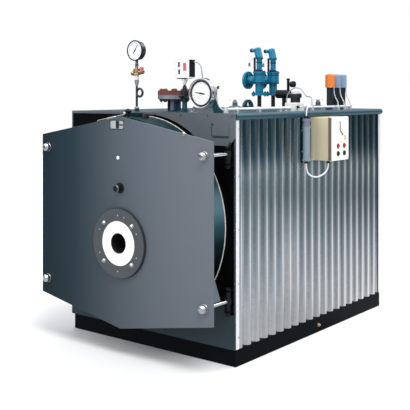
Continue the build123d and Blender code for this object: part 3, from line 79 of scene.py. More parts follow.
AHEAD = (0, -1, 0)
BACK = (0, 1, 0)
UP = (0, 0, 1)
DOWN = (0, 0, -1)
RIGHT = (1, 0, 0)
LEFT = (-1, 0, 0)


def edge_height(x):
    """Height of the door's upper edge at that place."""
    return DOOR_TOP - DOOR_PEAK * abs(x) / DOOR_SIDE


# Camera, set from the photograph's vanishing lines
CAMERA_PLACE = (3.097, -4.232, 1.384)
CAMERA_AIM = Vector((-0.6184, 0.7859, 0.0))
SENSOR_WIDTH = 36.0
LENS = 74.46
LENS_DROP = -0.2754
FAR_END = 200.0
camera_data = bpy.data.cameras.new("camera")
camera = bpy.data.objects.new("camera", camera_data)
scene.collection.objects.link(camera)
camera.location = CAMERA_PLACE
camera.rotation_euler = CAMERA_AIM.to_track_quat("-Z", "Y").to_euler()
camera_data.sensor_width = SENSOR_WIDTH
camera_data.lens = LENS
camera_data.shift_y = LENS_DROP
camera_data.clip_end = FAR_END
scene.camera = camera


# Material helpers. Each takes values or the outputs of other nodes
MATERIALS = {}
MIX_SHARE, MIX_FIRST, MIX_SECOND, MIX_RESULT = 0, 6, 7, 2


def shader_of(tree):
    """The node that shades the surface."""
    return next(n for n in tree.nodes if n.type == "BSDF_PRINCIPLED")


def new_material(name):
    """An empty node material, kept under its name, its tree and its shader."""
    material = MATERIALS[name] = bpy.data.materials.new(name)
    material.use_nodes = True
    tree = material.node_tree
    return material, tree, shader_of(tree)


def feed(entry, what):
    """Gives a node's input a value, or links it to another node's output."""
    if isinstance(what, bpy.types.NodeSocket):
        entry.id_data.links.new(what, entry)
    else:
        entry.default_value = what


def fill(node, entries):
    """Feeds several inputs of a node."""
    for key, what in entries.items():
        feed(node.inputs[key], what)


def wired(tree, kind, output, entries=None, **settings):
    """Adds a node with its settings, feeds its inputs and gives one of its outputs."""
    node = tree.nodes.new(kind)
    for key, value in settings.items():
        setattr(node, key, value)
    fill(node, entries or {})
    return node.outputs[output]


def places(tree):
    """The object's own coordinates, whole and by axis."""
    whole = wired(tree, "ShaderNodeTexCoord", "Object")
    split = tree.nodes.new("ShaderNodeSeparateXYZ")
    fill(split, {"Vector": whole})
    return whole, split.outputs


def remap(tree, what, low, high, first=0.0, last=1.0):
    """Turns the range from low to high into the range from first to last."""
    limits = {"Value": what, "From Min": low, "From Max": high, "To Min": first, "To Max": last}
    return wired(tree, "ShaderNodeMapRange", "Result", limits)


def counted(tree, operation, first, second=0.0):
    """One step of arithmetic on numbers."""
    return wired(tree, "ShaderNodeMath", "Value", {0: first, 1: second}, operation=operation)


def vector(tree, operation, first, second=(0.0, 0.0, 0.0), output="Vector"):
    """One step of arithmetic on vectors."""
    entries = {0: first, 1: second}
    return wired(tree, "ShaderNodeVectorMath", output, entries, operation=operation)


def scaled(tree, colour, factor):
    """A colour made lighter or darker."""
    entries = {0: colour, "Scale": factor}
    return wired(tree, "ShaderNodeVectorMath", "Vector", entries, operation="SCALE")


def mixed(tree, share, first, second):
    """A colour between two others."""
    entries = {MIX_SHARE: share, MIX_FIRST: first, MIX_SECOND: second}
    return wired(tree, "ShaderNodeMix", MIX_RESULT, entries, data_type="RGBA")


def noise(tree, place, scale, detail, roughness=0.5):
    """Soft noise, about 0.5 on average."""
    entries = {"Vector": place, "Scale": scale, "Detail": detail, "Roughness": roughness}
    return wired(tree, "ShaderNodeTexNoise", "Fac", entries)


def bumped(tree, height, strength, distance):
    """A surface direction that follows small heights."""
    entries = {"Height": height, "Strength": strength, "Distance": distance}
    return wired(tree, "ShaderNodeBump", "Normal", entries)


def ramp(tree, share, stops, curve="LINEAR"):
    """A colour that follows the share from stop to stop."""
    node = tree.nodes.new("ShaderNodeValToRGB")
    bar = node.color_ramp
    bar.interpolation = curve
    for end in (0, -1):
        bar.elements[end].position = stops[end][0]
        bar.elements[end].color = (*stops[end][1], 1.0)
    for place, colour in stops[1:-1]:
        bar.elements.new(place).color = (*colour, 1.0)
    fill(node, {"Fac": share})
    return node.outputs["Color"]


def stepped(tree, what, stops, curve="LINEAR"):
    """A colour that follows a height or a place from stop to stop."""
    low, high = stops[0][0], stops[-1][0]
    shares = [((place - low) / (high - low), colour) for place, colour in stops]
    return ramp(tree, remap(tree, what, low, high), shares, curve)


def shaded(colour, factor):
    """The colour made lighter or darker."""
    return tuple(max(0.0, min(1.0, c * factor)) for c in colour)


# Materials
GLOSS_SWING = 0.06
COAT_ROUGHNESS = 0.12


def surface(
    name, colour, rough, metallic=0.0, shade=0.12, scale=5.0, stretch=(1.0, 1.0, 1.0), grain=0.1,
    grain_scale=260.0, grain_depth=0.0006, coat=0.0, shine=0.5, zone=None,
):
    """Paint, metal or plastic with drifting colour, uneven gloss and a fine grain.

    A zone is (axis, place, fade, colour): beyond that place the colour takes over.
    """
    material, tree, shader = new_material(name)
    place, axes = places(tree)
    spread = wired(tree, "ShaderNodeMapping", "Vector", {"Vector": place, "Scale": stretch})
    drift = noise(tree, spread, scale, 6.0, 0.6)
    fine = noise(tree, spread, grain_scale, 3.0)
    smoothest = max(0.02, rough - GLOSS_SWING)
    tone = ramp(tree, drift, ((0.3, shaded(colour, 1.0 - shade)), (0.72, shaded(colour, 1.0 + shade))))
    if zone:
        axis, edge, fade, other = zone
        beyond = remap(tree, axes[axis], edge - fade, edge + fade)
        tone = mixed(tree, beyond, tone, (*other, 1.0))
    entries = {
        "Base Color": tone,
        "Roughness": remap(tree, drift, 0.25, 0.75, smoothest, rough + GLOSS_SWING),
        "Normal": bumped(tree, fine, grain, grain_depth),
        "Metallic": metallic,
        "Specular IOR Level": shine,
    }
    fill(shader, entries)
    if coat:
        fill(shader, {"Coat Weight": coat, "Coat Roughness": COAT_ROUGHNESS})
    return material


# Painted reflection tones of the cladding by height: bright at the foot, dull teal band at the top
CLADDING_REFLECTION_STOPS = (
    (0.10, (1.0, 1.0, 1.0)), (0.27, (0.89, 0.96, 1.0)), (0.44, (0.645, 0.72, 0.80)),
    (0.62, (0.474, 0.568, 0.614)), (0.80, (0.50, 0.62, 0.637)), (0.96, (0.535, 0.67, 0.717)),
    (1.05, (0.15, 0.32, 0.42)), (1.25, (0.20, 0.42, 0.50)),
)
# Two ridges with a painted highlight: they keep the brighter tones of a lower place
HIGHLIGHT_RIDGES = (-0.303, -0.221)
HIGHLIGHT_RIDGE_LIFT = 0.27
# Where across its depth the corrugation turns from the valley, darkened as painted shade, to the crest's
# painted highlight, and by how much
CREST_HIGHLIGHT_START = HALF_WIDTH - 0.007
CREST_HIGHLIGHT_SHARE = 0.75
CREST_HIGHLIGHT_TONE = (0.93, 0.97, 1.0, 1.0)
VALLEY_SHADE_SCALE = 0.85
# Ends of the casing, and how bright its metal is at the front and at the rear: painted light at the front,
# painted shade at the rear
CASING_END = 0.79
FRONT_LIGHT_SCALE = 1.10 * VALLEY_SHADE_SCALE
REAR_SHADE_SCALE = 0.60 * VALLEY_SHADE_SCALE


def galvanised(name, rough):
    """Zinc-coated sheet: spangle and upright streaks, with painted highlights on the crests, painted
    reflection tones that are duller at the top, and painted shade toward the rear.
    """
    _, tree, shader = new_material(name)
    place, axes = places(tree)
    height = axes["Z"]
    # Painted highlight: two ridges take the brighter tones of a lower place
    for ridge in HIGHLIGHT_RIDGES:
        away = counted(tree, "ABSOLUTE", counted(tree, "SUBTRACT", axes["Y"], ridge))
        lift = remap(tree, away, 0.012, 0.026, -HIGHLIGHT_RIDGE_LIFT, 0.0)
        height = counted(tree, "ADD", lift, height)
    upright = {"Vector": place, "Scale": (18.0, 18.0, 0.9)}
    streaks = noise(tree, wired(tree, "ShaderNodeMapping", "Vector", upright), 1.6, 5.0, 0.6)
    crystals = wired(tree, "ShaderNodeTexVoronoi", "Color", {"Vector": place, "Scale": 60.0})
    spangle = remap(tree, wired(tree, "ShaderNodeRGBToBW", "Val", {"Color": crystals}), 0.0, 1.0, 0.93, 1.07)
    wear = remap(tree, streaks, 0.3, 0.75, 0.80, 1.15)
    # Painted shade: the metal darkens from the front of the casing to the rear
    rear = remap(tree, axes["Y"], -CASING_END, CASING_END, FRONT_LIGHT_SCALE, REAR_SHADE_SCALE)
    whole = counted(tree, "MULTIPLY", counted(tree, "MULTIPLY", spangle, wear), rear)
    # Painted reflection: the cladding's tone by height, bright at the foot and a dull teal band at the top
    reflection_tone = scaled(tree, stepped(tree, height, CLADDING_REFLECTION_STOPS), whole)
    # Painted highlight along the outer crests of the corrugation
    outward = counted(tree, "ABSOLUTE", axes["X"])
    crest_highlight = remap(tree, outward, CREST_HIGHLIGHT_START, HALF_WIDTH, 0.0, CREST_HIGHLIGHT_SHARE)
    entries = {
        "Base Color": mixed(tree, crest_highlight, reflection_tone, CREST_HIGHLIGHT_TONE),
        "Roughness": remap(tree, streaks, 0.25, 0.75, rough - 0.04, rough + 0.05),
        "Normal": bumped(tree, noise(tree, place, 2.6, 2.0), 0.12, 0.004),
        "Metallic": 1.0,
    }
    fill(shader, entries)


# Painted shade and light on the door across its width, from the dark hinge side to the lighter free side
DOOR_SHADE_STOPS = (
    (-0.61, (0.008, 0.020, 0.029)), (-0.35, (0.018, 0.036, 0.049)), (-0.12, (0.055, 0.073, 0.089)),
    (0.0, (0.077, 0.098, 0.117)), (0.22, (0.107, 0.127, 0.151)), (0.45, (0.128, 0.146, 0.172)),
    (0.61, (0.135, 0.153, 0.180)),
)


def door_paint_with_painted_shade(name):
    """Satin paint with painted shade: dark at the hinge side, with painted light at the free side and the
    top.
    """
    tree = surface(name, (0.1, 0.1, 0.1), 0.42, shade=0.05, shine=0.16).node_tree
    _, axes = places(tree)
    # Painted light: the door gets lighter towards the top
    rise = remap(tree, axes["Z"], 0.2, 1.2, 0.84, 1.04)
    fill(shader_of(tree), {"Base Color": scaled(tree, stepped(tree, axes["X"], DOOR_SHADE_STOPS), rise)})


# Painted light and shade on the drum by height: pale where it meets the light, painted shade near black
# below
DRUM_LIGHT_AND_SHADE_STOPS = (
    (0.50, (0.0, 0.001, 0.002)), (0.63, (0.0, 0.010, 0.015)), (0.717, (0.014, 0.055, 0.070)),
    (0.80, (0.075, 0.150, 0.180)), (0.86, (0.080, 0.140, 0.170)), (0.92, (0.018, 0.050, 0.062)),
    (1.05, (0.006, 0.028, 0.036)),
)


def drum_paint_with_painted_light(name):
    """Teal paint of the door drum, with painted light and shade in tones by height."""
    tree = surface(name, (0.02, 0.07, 0.09), 0.42, shade=0.05, shine=0.06).node_tree
    _, axes = places(tree)
    fill(shader_of(tree), {"Base Color": stepped(tree, axes["Z"], DRUM_LIGHT_AND_SHADE_STOPS)})


SOOT_TONE = (0.004, 0.004, 0.004, 1.0)
SOOT_RADIUS = 0.054


def sooted(name, colour, rough):
    """Fired lining, blackened by soot inside a radius round the burner's axis."""
    tree = surface(name, colour, rough, shade=0.03, grain=0.5, grain_scale=160, grain_depth=0.001).node_tree
    shader = shader_of(tree)
    painted = shader.inputs["Base Color"].links[0].from_socket
    place, _ = places(tree)
    flat = vector(tree, "MULTIPLY", vector(tree, "SUBTRACT", place, (0.0, 0.0, BURNER_Z)), (1.0, 0.0, 1.0))
    reach = vector(tree, "LENGTH", flat, output="Value")
    clean = remap(tree, reach, SOOT_RADIUS - 0.001, SOOT_RADIUS + 0.001)
    fill(shader, {"Base Color": mixed(tree, clean, SOOT_TONE, painted)})


# Painted shade and highlight bands on the steam stub, from its left edge to its right edge as the camera
# sees it
BAND_WAY = (0.786, 0.618, 0.0)
BAND_START, BAND_END = -0.3946, -0.3186
SHADE_AND_HIGHLIGHT_BANDS = (
    (0.0, (0.004, 0.005, 0.008)), (0.20, (0.004, 0.005, 0.008)), (0.26, (0.22, 0.23, 0.33)),
    (0.46, (0.20, 0.22, 0.30)), (0.52, (0.006, 0.050, 0.065)), (0.64, (0.010, 0.110, 0.135)),
    (0.74, (0.004, 0.030, 0.040)), (0.84, (0.012, 0.120, 0.145)), (1.0, (0.004, 0.040, 0.052)),
)
STUB_FLANGE_Z = 1.344
STUB_FLANGE_TONE = (0.30, 0.32, 0.34, 1.0)


def banded(name):
    """Pipe steel with dull, bright and teal bands side by side, painted shade and painted highlight across
    the pipe, and a lighter flange above.
    """
    _, tree, shader = new_material(name)
    place, axes = places(tree)
    slant = vector(tree, "DOT_PRODUCT", place, BAND_WAY, output="Value")
    painted_bands = ramp(tree, remap(tree, slant, BAND_START, BAND_END), SHADE_AND_HIGHLIGHT_BANDS, "EASE")
    above = remap(tree, axes["Z"], STUB_FLANGE_Z, STUB_FLANGE_Z + 0.001)
    entries = {
        "Base Color": mixed(tree, above, painted_bands, STUB_FLANGE_TONE),
        "Roughness": remap(tree, noise(tree, place, 30.0, 4.0), 0.0, 1.0, 0.28, 0.44),
        "Metallic": 0.3,
    }
    fill(shader, entries)


VALVE_BLUE = (0.0, 0.215, 0.370)
TRIM_TONE = (0.90, 0.91, 0.94)
UPRIGHT_STRETCH = (1, 1, 0.1)
surface("frame_black", (0.002, 0.003, 0.005), 0.5, shade=0.3, shine=0.06)
surface("raw_steel", (0.20, 0.19, 0.18), 0.5, metallic=0.8, shade=0.25, scale=12)
surface("soot", (0.020, 0.019, 0.018), 0.85, shade=0.3, scale=20, shine=0.2)
surface("trim", TRIM_TONE, 0.32, metallic=0.35, shade=0.04, stretch=UPRIGHT_STRETCH)
# Corner trims: the front face keeps a dark tone as painted shade, and the sides beyond it take the bright
# trim tone
surface(
    "corner_trim", (0.10, 0.12, 0.135), 0.36, metallic=0.35, shade=0.04, stretch=UPRIGHT_STRETCH,
    zone=("Y", FRONT + 0.0006, 0.0004, TRIM_TONE),
)
surface("roof_teal", (0.010, 0.062, 0.090), 0.34, shade=0.15, shine=0.45)
surface("hood_grey", (0.118, 0.136, 0.155), 0.42, shade=0.06, scale=2.5, shine=0.4)
surface("lower_teal", (0.018, 0.036, 0.045), 0.45, shade=0.15, shine=0.35)
surface("recess_black", (0.002, 0.002, 0.003), 0.6, shade=0.2, shine=0.07)
surface("door_dark", (0.060, 0.070, 0.080), 0.42, shade=0.08, coat=0.1)
surface("lining", (0.55, 0.52, 0.46), 0.9, grain=0.6, grain_scale=90, grain_depth=0.002)
surface(
    "rope", (0.56, 0.55, 0.51), 0.85, shade=0.25, scale=90, grain=0.8, grain_scale=400,
    grain_depth=0.001,
)
surface("chrome", (0.86, 0.87, 0.89), 0.15, metallic=1.0, shade=0.04)
surface("steel", (0.50, 0.51, 0.53), 0.30, metallic=1.0, shade=0.15, scale=20)
surface("pin_steel", (0.024, 0.026, 0.03), 0.4, metallic=0.7, shade=0.3, scale=40)
surface("dark_steel", (0.030, 0.042, 0.050), 0.34, metallic=0.3, shade=0.2, scale=20, coat=0.2)
surface(
    "manifold_teal", (0.004, 0.075, 0.095), 0.34, coat=0.2,
    zone=("Z", 1.333, 0.001, (0.006, 0.012, 0.014)),
)
surface(
    "riser_blue", (0.36, 0.44, 0.52), 0.3, metallic=0.5, shade=0.08,
    zone=("Z", 1.190, 0.002, (0.30, 0.32, 0.42)),
)
surface("primer_red", (0.20, 0.060, 0.045), 0.5, shade=0.25, scale=30)
surface("brass", (0.80, 0.62, 0.36), 0.26, metallic=1.0, scale=25)
surface("bezel_dark", (0.07, 0.075, 0.09), 0.25, metallic=0.8, shade=0.1)
surface("white_plastic", (0.88, 0.88, 0.87), 0.42, shade=0.03)
surface("black_plastic", (0.008, 0.009, 0.010), 0.4, shade=0.2, shine=0.35)
surface("valve_blue", VALVE_BLUE, 0.26, shade=0.35, scale=22, coat=0.6)
surface("valve_body", (0.006, 0.008, 0.010), 0.26, coat=0.6, zone=("Z", 1.3615, 0.0004, VALVE_BLUE))
surface("valve_navy", (0.003, 0.035, 0.095), 0.32, shade=0.25, scale=25, coat=0.3)
surface("cap_grey", (0.10, 0.14, 0.17), 0.4, shade=0.1)
surface("heads", (0.90, 0.22, 0.03), 0.42, shade=0.05, zone=("Y", 0.4465, 0.001, (0.24, 0.33, 0.46)))
surface("post_navy", (0.006, 0.016, 0.024), 0.38, shade=0.2, coat=0.1)
surface("box_beige", (0.62, 0.55, 0.38), 0.45, shade=0.04)
surface("box_ivory", (0.95, 0.92, 0.84), 0.45, shade=0.03)
# Brown of the cover's seam strip, painted shade
surface("seam_shade_brown", (0.16, 0.13, 0.10), 0.5, shade=0.1)
surface("buttons", (0.006, 0.006, 0.007), 0.35, shade=0.06, zone=("Z", 1.055, 0.002, (0.62, 0.02, 0.02)))
surface("pink", (0.62, 0.14, 0.20), 0.4, shade=0.06)
surface("cable_white", (0.78, 0.80, 0.82), 0.45, shade=0.05)
surface("cable_grey", (0.40, 0.42, 0.46), 0.45, shade=0.06)
surface("dial_white", (0.93, 0.93, 0.93), 0.5, shade=0.02)
surface("ink", (0.02, 0.025, 0.03), 0.5, shade=0.1)
surface("plate_bare", (0.72, 0.73, 0.74), 0.35, metallic=0.6, scale=14)
surface("pale_cap", (0.55, 0.62, 0.66), 0.4, shade=0.05)
surface("galvanised_bright", (0.74, 0.74, 0.78), 0.3, metallic=0.8, shade=0.08)
surface("tag_grey", (0.42, 0.45, 0.48), 0.45, metallic=0.5, shade=0.1)
galvanised("cladding", 0.15)
door_paint_with_painted_shade("door_grey")
drum_paint_with_painted_light("drum_teal")
sooted("ceramic", (0.95, 0.95, 0.94), 0.8)
banded("stub_steel")

NODES_BY_LOOK = {
    "frame_black": "base_frame",
    "recess_black": "boiler_shell rear_panel recess_panels hinge_brackets smoke_box flue_spigot",
    "raw_steel": "front_tube_plate rear_tube_plate smoke_tubes",
    "soot": "furnace_tube",
    "cladding": "right_cladding left_cladding",
    "corner_trim": "corner_trims",
    "roof_teal": "roof_panel lifting_eyes",
    "hood_grey": "front_hood",
    "lower_teal": "lower_front_panel",
    "pin_steel": "hinge_pins clamp_trunnions",
    "door_grey": "door_plate",
    "drum_teal": "door_drum",
    "lining": "door_refractory",
    "rope": "gasket_rope",
    "door_dark": "burner_flange",
    "ceramic": "burner_ceramic",
    "black_plastic": "sight_port feed_valve cable_glands",
    "chrome": "clamp_rods clamp_nuts dial_gauge",
    "stub_steel": "steam_outlet",
    "primer_red": "counter_flange",
    "dark_steel": "gauge_siphon feed_drive",
    "brass": "gauge_cock",
    "bezel_dark": "pressure_gauge",
    "manifold_teal": "switch_manifold",
    "white_plastic": "pressure_switch junction_box",
    "trim": "conduit_run",
    "valve_body": "valve_bodies",
    "valve_blue": "valve_bonnets",
    "valve_navy": "valve_levers",
    "post_navy": "electrode_posts",
    "heads": "electrode_heads",
    "cap_grey": "inspection_caps",
    "box_beige": "control_box",
    "box_ivory": "control_cover",
    "buttons": "control_buttons",
    "riser_blue": "conduit_riser",
    "cable_grey": "switch_cable feed_cable",
    "cable_white": "loop_cable dial_cable riser_cable "
    "electrode_cable_1 electrode_cable_2 electrode_cable_3",
}
for look, node_names in NODES_BY_LOOK.items():
    for node_name in node_names.split():
        nodes[node_name].data.materials.clear()
        nodes[node_name].data.materials.append(MATERIALS[look])


# Cords, which repeat their CAD routes
THIN_CORD = 0.007
THICK_CORD = 0.009


def cord(name, node_name, points, diameter, look):
    """A smooth cable along the points, standing for its CAD solid."""
    curve = bpy.data.curves.new(name, "CURVE")
    curve.dimensions = "3D"
    spline = curve.splines.new("NURBS")
    spline.points.add(len(points) - 1)
    for point, place in zip(spline.points, points):
        point.co = (*place, 1.0)
    spline.order_u = 3
    spline.use_endpoint_u = True
    spline.resolution_u = 12
    bare = bpy.data.objects.new(name + "_line", curve)
    scene.collection.objects.link(bare)
    line = bpy.data.meshes.new_from_object(bare)
    bpy.data.objects.remove(bare)
    curve.bevel_depth = diameter / 2
    curve.bevel_resolution = 5
    cable = bpy.data.objects.new(name, curve)
    scene.collection.objects.link(cable)
    curve.materials.append(MATERIALS[look])
    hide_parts(node_name)
    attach(cable, "boiler")


LOOP_ROUTE = [
    (RISER_X, RISER_Y, 0.986), (RISER_X, RISER_Y, 0.955), (0.621, -0.152, 0.925), (0.638, -0.124, 0.908),
    (0.659, -0.090, 0.910), (0.677, -0.058, 0.932), (0.680, -0.033444, 0.958), (0.680, -0.033444, 0.982),
]
SWITCH_ROUTE = [
    (0.2545, SWITCH_Y, 1.543667), (0.2735, SWITCH_Y, 1.543667), (0.2895, SWITCH_Y, 1.534667),
    (0.2985, -0.709, 1.516667), (0.301, -0.705, 1.490), (0.303, -0.699, 1.450), (0.303, -0.690, 1.400),
    (0.301, -0.681, 1.350), (0.300, -0.676, 1.312), (0.300, -0.676, 1.290),
]
DIAL_ROUTE = [
    (0.416, -0.723, 1.400), (0.416, -0.723, 1.374), (0.4175, -0.722, 1.348), (0.421, -0.722, 1.326),
    (0.428, -0.722, 1.309), (0.438, -0.722, 1.2985), (0.450, -0.722, 1.294), (0.462, -0.722, TRUNK_Z),
]
RISER_ROUTE = [
    (0.520, -0.0838, 1.299), (0.542, -0.0838, 1.300), (0.575, -0.0978, 1.305), (0.603, -0.1238, 1.304),
    (0.614, -0.152, 1.294), (RISER_X, RISER_Y, 1.272), (RISER_X, RISER_Y, 1.250),
]
FEED_ROUTE = [
    (0.167, 0.330, 1.290), (0.167, 0.330, 1.345), (0.178, 0.340, 1.385), (0.205, 0.356, 1.412),
    (0.240, 0.371, 1.410), (0.268, 0.368, 1.388), (0.322, 0.304, 1.364), (0.380, 0.238, 1.356),
    (0.436, 0.176, 1.356), (0.460, 0.148, 1.352), (TRUNK_X, 0.132, 1.332), (TRUNK_X, 0.132, 1.301),
]
cord("loop_cable_soft", "loop_cable", LOOP_ROUTE, THICK_CORD, "cable_white")
cord("switch_cable_soft", "switch_cable", SWITCH_ROUTE, THIN_CORD, "cable_grey")
cord("dial_cable_soft", "dial_cable", DIAL_ROUTE, THIN_CORD, "cable_white")
cord("riser_cable_soft", "riser_cable", RISER_ROUTE, THIN_CORD, "cable_white")
cord("feed_cable_soft", "feed_cable", FEED_ROUTE, THIN_CORD, "cable_grey")
for number, y in enumerate(ELECTRODE_YS, 1):
    route = [
        (0.4555, y + 0.0179, 1.412),
        (0.4555, y + 0.0179, 1.388),
        (0.459, y + 0.022, 1.360),
        (0.467, y + 0.030, 1.338),
        (TRUNK_X, y + 0.0385, 1.319),
        (TRUNK_X, y + 0.0385, 1.301),
    ]
    cord(f"electrode_cable_soft_{number}", f"electrode_cable_{number}", route, THIN_CORD, "cable_white")


# Mesh helpers
def frame_of(axis):
    """Two directions square to the axis, and the axis itself."""
    w = Vector(axis).normalized()
    side = Vector((0, 0, 1)) if abs(w.z) < 0.9 else Vector((0, 1, 0))
    u = side.cross(w).normalized()
    return u, w.cross(u), w


def ring_of(shape, middle, radius, u, v, segments, turn=0.0):
    """A ring of corners round the middle, in the plane of two directions."""
    angles = [turn + 2 * math.pi * step / segments for step in range(segments)]
    return [shape.verts.new(middle + radius * (math.cos(a) * u + math.sin(a) * v)) for a in angles]


def lathe(shape, profile, place, axis, segments=32, turn=0.0, hollow=False):
    """A turned form: rings of (radius, height) pairs along the axis from the place."""
    u, v, w = frame_of(axis)
    rings = []
    for radius, height in profile:
        middle = Vector(place) + w * height
        if radius == 0:
            rings.append([shape.verts.new(middle)])
        else:
            rings.append(ring_of(shape, middle, radius, u, v, segments, turn))
    pairs = list(zip(rings, rings[1:]))
    if hollow:
        pairs.append((rings[-1], rings[0]))
    for low, high in pairs:
        for step in range(segments):
            after = step + 1
            corners = [low[step % len(low)], low[after % len(low)]]
            corners += [high[after % len(high)], high[step % len(high)]]
            face = list(dict.fromkeys(corners))
            if len(face) > 2:
                shape.faces.new(face)
    for ring, order in ((rings[0], -1), (rings[-1], 1)):
        if len(ring) > 2 and not hollow:
            shape.faces.new(ring[::order])


def board(shape, low, high):
    """A block between two corners."""
    ends = [(x, y, z) for x in (low[0], high[0]) for y in (low[1], high[1]) for z in (low[2], high[2])]
    corners = [shape.verts.new(end) for end in ends]
    for face in ((0, 1, 3, 2), (4, 6, 7, 5), (0, 4, 5, 1), (2, 3, 7, 6), (0, 2, 6, 4), (1, 5, 7, 3)):
        shape.faces.new([corners[k] for k in face])


def slab(shape, outline, start, depth):
    """A flat plate with an outline of (x, z) points, from the front at y = start."""
    front = [shape.verts.new((x, start, z)) for x, z in outline]
    back = [shape.verts.new((x, start + depth, z)) for x, z in outline]
    shape.faces.new(front)
    shape.faces.new(back[::-1])
    for k in range(len(outline)):
        after = (k + 1) % len(outline)
        shape.faces.new([front[after], front[k], back[k], back[after]])


def tube(shape, points, radius, segments=10):
    """A round bar through the points, with closed ends."""
    spots = [Vector(p) for p in points]
    rings = []
    for k, spot in enumerate(spots):
        way = spots[min(k + 1, len(spots) - 1)] - spots[max(k - 1, 0)]
        u, v, _ = frame_of(way)
        if rings:
            first = rings[-1][0].co - spots[k - 1]
            u = (first - first.project(way)).normalized()
            v = way.normalized().cross(u)
        rings.append(ring_of(shape, spot, radius, u, v, segments))
    for low, high in zip(rings, rings[1:]):
        for step in range(segments):
            after = (step + 1) % segments
            shape.faces.new([low[step], low[after], high[after], high[step]])
    shape.faces.new(rings[0][::-1])
    shape.faces.new(rings[-1])


def nut(shape, place, axis, radius, height, segments=6, turn=0.0):
    """A plain low prism: a hexagon nut, or a disc with more segments."""
    lathe(shape, [(radius, 0), (radius, height)], place, axis, segments, turn)


def bolt(shape, place, axis, size, turn=0.0):
    """Washer, hexagon nut and the end of the stud."""
    nut(shape, place, axis, size * 1.15, size * 0.18, 20)
    top = Vector(place) + Vector(axis).normalized() * size * 0.18
    hexagon = [(size * 0.92, 0), (size * 0.92, size * 0.6), (size * 0.78, size * 0.75)]
    lathe(shape, hexagon, top, axis, 6, turn)
    end = [(size * 0.5, size * 0.7), (size * 0.5, size * 1.1), (size * 0.4, size * 1.2)]
    lathe(shape, end, top, axis, 14)


def screw(shape, place, axis, size):
    """A low domed screw head."""
    dome = [(size, 0), (size, size * 0.35), (size * 0.6, size * 0.7), (0, size * 0.8)]
    lathe(shape, dome, place, axis, 14)


SHARP_ANGLE = math.radians(35.0)


def piece(name, shape, look, body="boiler", bevel=0.0):
    """Turns the shape into an object that rides on the body."""
    mesh = bpy.data.meshes.new(name)
    bmesh.ops.recalc_face_normals(shape, faces=shape.faces)
    shape.to_mesh(mesh)
    shape.free()
    mesh.shade_smooth()
    mesh.set_sharp_from_angle(angle=SHARP_ANGLE)
    mesh.materials.append(MATERIALS[look])
    thing = bpy.data.objects.new(name, mesh)
    scene.collection.objects.link(thing)
    if bevel:
        rounding = thing.modifiers.new("edges", "BEVEL")
        rounding.width = bevel
        rounding.segments = 2
        rounding.limit_method = "ANGLE"
    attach(thing, body)


def turned(name, look, slot, *forms, body="boiler", hollow=False):
    """A piece made of turned forms, each given as (profile, place, axis, segments)."""
    shape = bmesh.new()
    for profile, place, axis, segments in forms:
        lathe(shape, profile, place, axis, segments, hollow=hollow)
    piece(name, shape, look, body)


def boards(name, look, slot, *blocks, body="boiler", bevel=0.0):
    """A piece made of blocks, each given as (low corner, high corner)."""
    shape = bmesh.new()
    for low, high in blocks:
        board(shape, low, high)
    piece(name, shape, look, body, bevel)


def around(centre, radius, count, start=0.0, axis="Y"):
    """Places on a circle, in the plane square to Y or Z."""
    x, y, z = centre
    spots = []
    for k in range(count):
        angle = math.radians(start + 360.0 * k / count)
        a, b = radius * math.cos(angle), radius * math.sin(angle)
        spots.append((x + a, y, z + b) if axis == "Y" else (x + a, y + b, z))
    return spots


SCALE_START = 225
SCALE_SWEEP = 270


def ticks(shape, centre, inner, outer, count, width):
    """Radial marks on a clock face, every fifth one long."""
    x, y, z = centre
    for k in range(count):
        angle = math.radians(SCALE_START - SCALE_SWEEP * k / (count - 1))
        along = Vector((math.cos(angle), 0, math.sin(angle)))
        across = Vector((-math.sin(angle), 0, math.cos(angle))) * width / 2
        start = inner if k % 5 == 0 else inner + (outer - inner) * 0.45
        corners = []
        for reach, side in ((start, -1), (outer, -1), (outer, 1), (start, 1)):
            spot = Vector((x, y, z)) + along * reach + across * side
            corners.append((spot.x, spot.z))
        slab(shape, corners, y - HAIR, HAIR)


def needle(shape, centre, angle, length, tail, width):
    """A pointer, widest at its hub."""
    x, y, z = centre
    angle = math.radians(angle)
    along = Vector((math.cos(angle), math.sin(angle)))
    across = Vector((-along.y, along.x)) * width / 2
    spot = Vector((x, z))
    tip = spot + along * length
    end = spot - along * tail
    outline = [tip + across * 0.3, spot + across, end + across * 0.8]
    outline += [end - across * 0.8, spot - across, tip - across * 0.3]
    slab(shape, [tuple(p) for p in outline], y - 0.0016, 0.0008)
    lathe(shape, [(width * 0.6, 0), (width * 0.6, 0.0022), (width * 0.4, 0.0028)], centre, AHEAD, 20)


def dial_marks(name, plate, scale, pointer):
    """Ticks from (inner, outer, count, width), a needle from (angle, length, tail, width)."""
    marks = bmesh.new()
    ticks(marks, plate, *scale)
    needle(marks, plate, *pointer)
    piece(name, marks, "ink")


# Pressure gauge: white face, ticks, needle and rim, then the fittings on its pipe
GAUGE_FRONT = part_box("pressure_gauge")[0][1]
GAUGE_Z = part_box("pressure_gauge")[1][2] - 0.058
GAUGE_FACE_Y = GAUGE_FRONT + 0.003
GAUGE_FACE = [(0.0515, 0), (0.0515, 0.0008)]
GAUGE_PLATE = (GAUGE_X, GAUGE_FACE_Y - 0.0008, GAUGE_Z)
GAUGE_RIM = [(0.0525, 0), (0.0575, 0), (0.0565, 0.0022), (0.053, 0.0022)]
HANDLE = [(0.006, 0), (0.012, 0.004), (0.0135, 0.012), (0.011, 0.019), (0, 0.022)]
PLUG_CONE = [(0.013, 0), (0.014, 0.012), (0.011, 0.016), (0.011, 0.022), (0.008, 0.025)]
PLUG_END = [(0.008, 0), (0.0115, 0.002), (0.0115, 0.009), (0, 0.012)]
SIPHON_COLLAR = [(0.0105, 0), (0.0125, 0.002), (0.0125, 0.024), (0.0115, 0.027)]


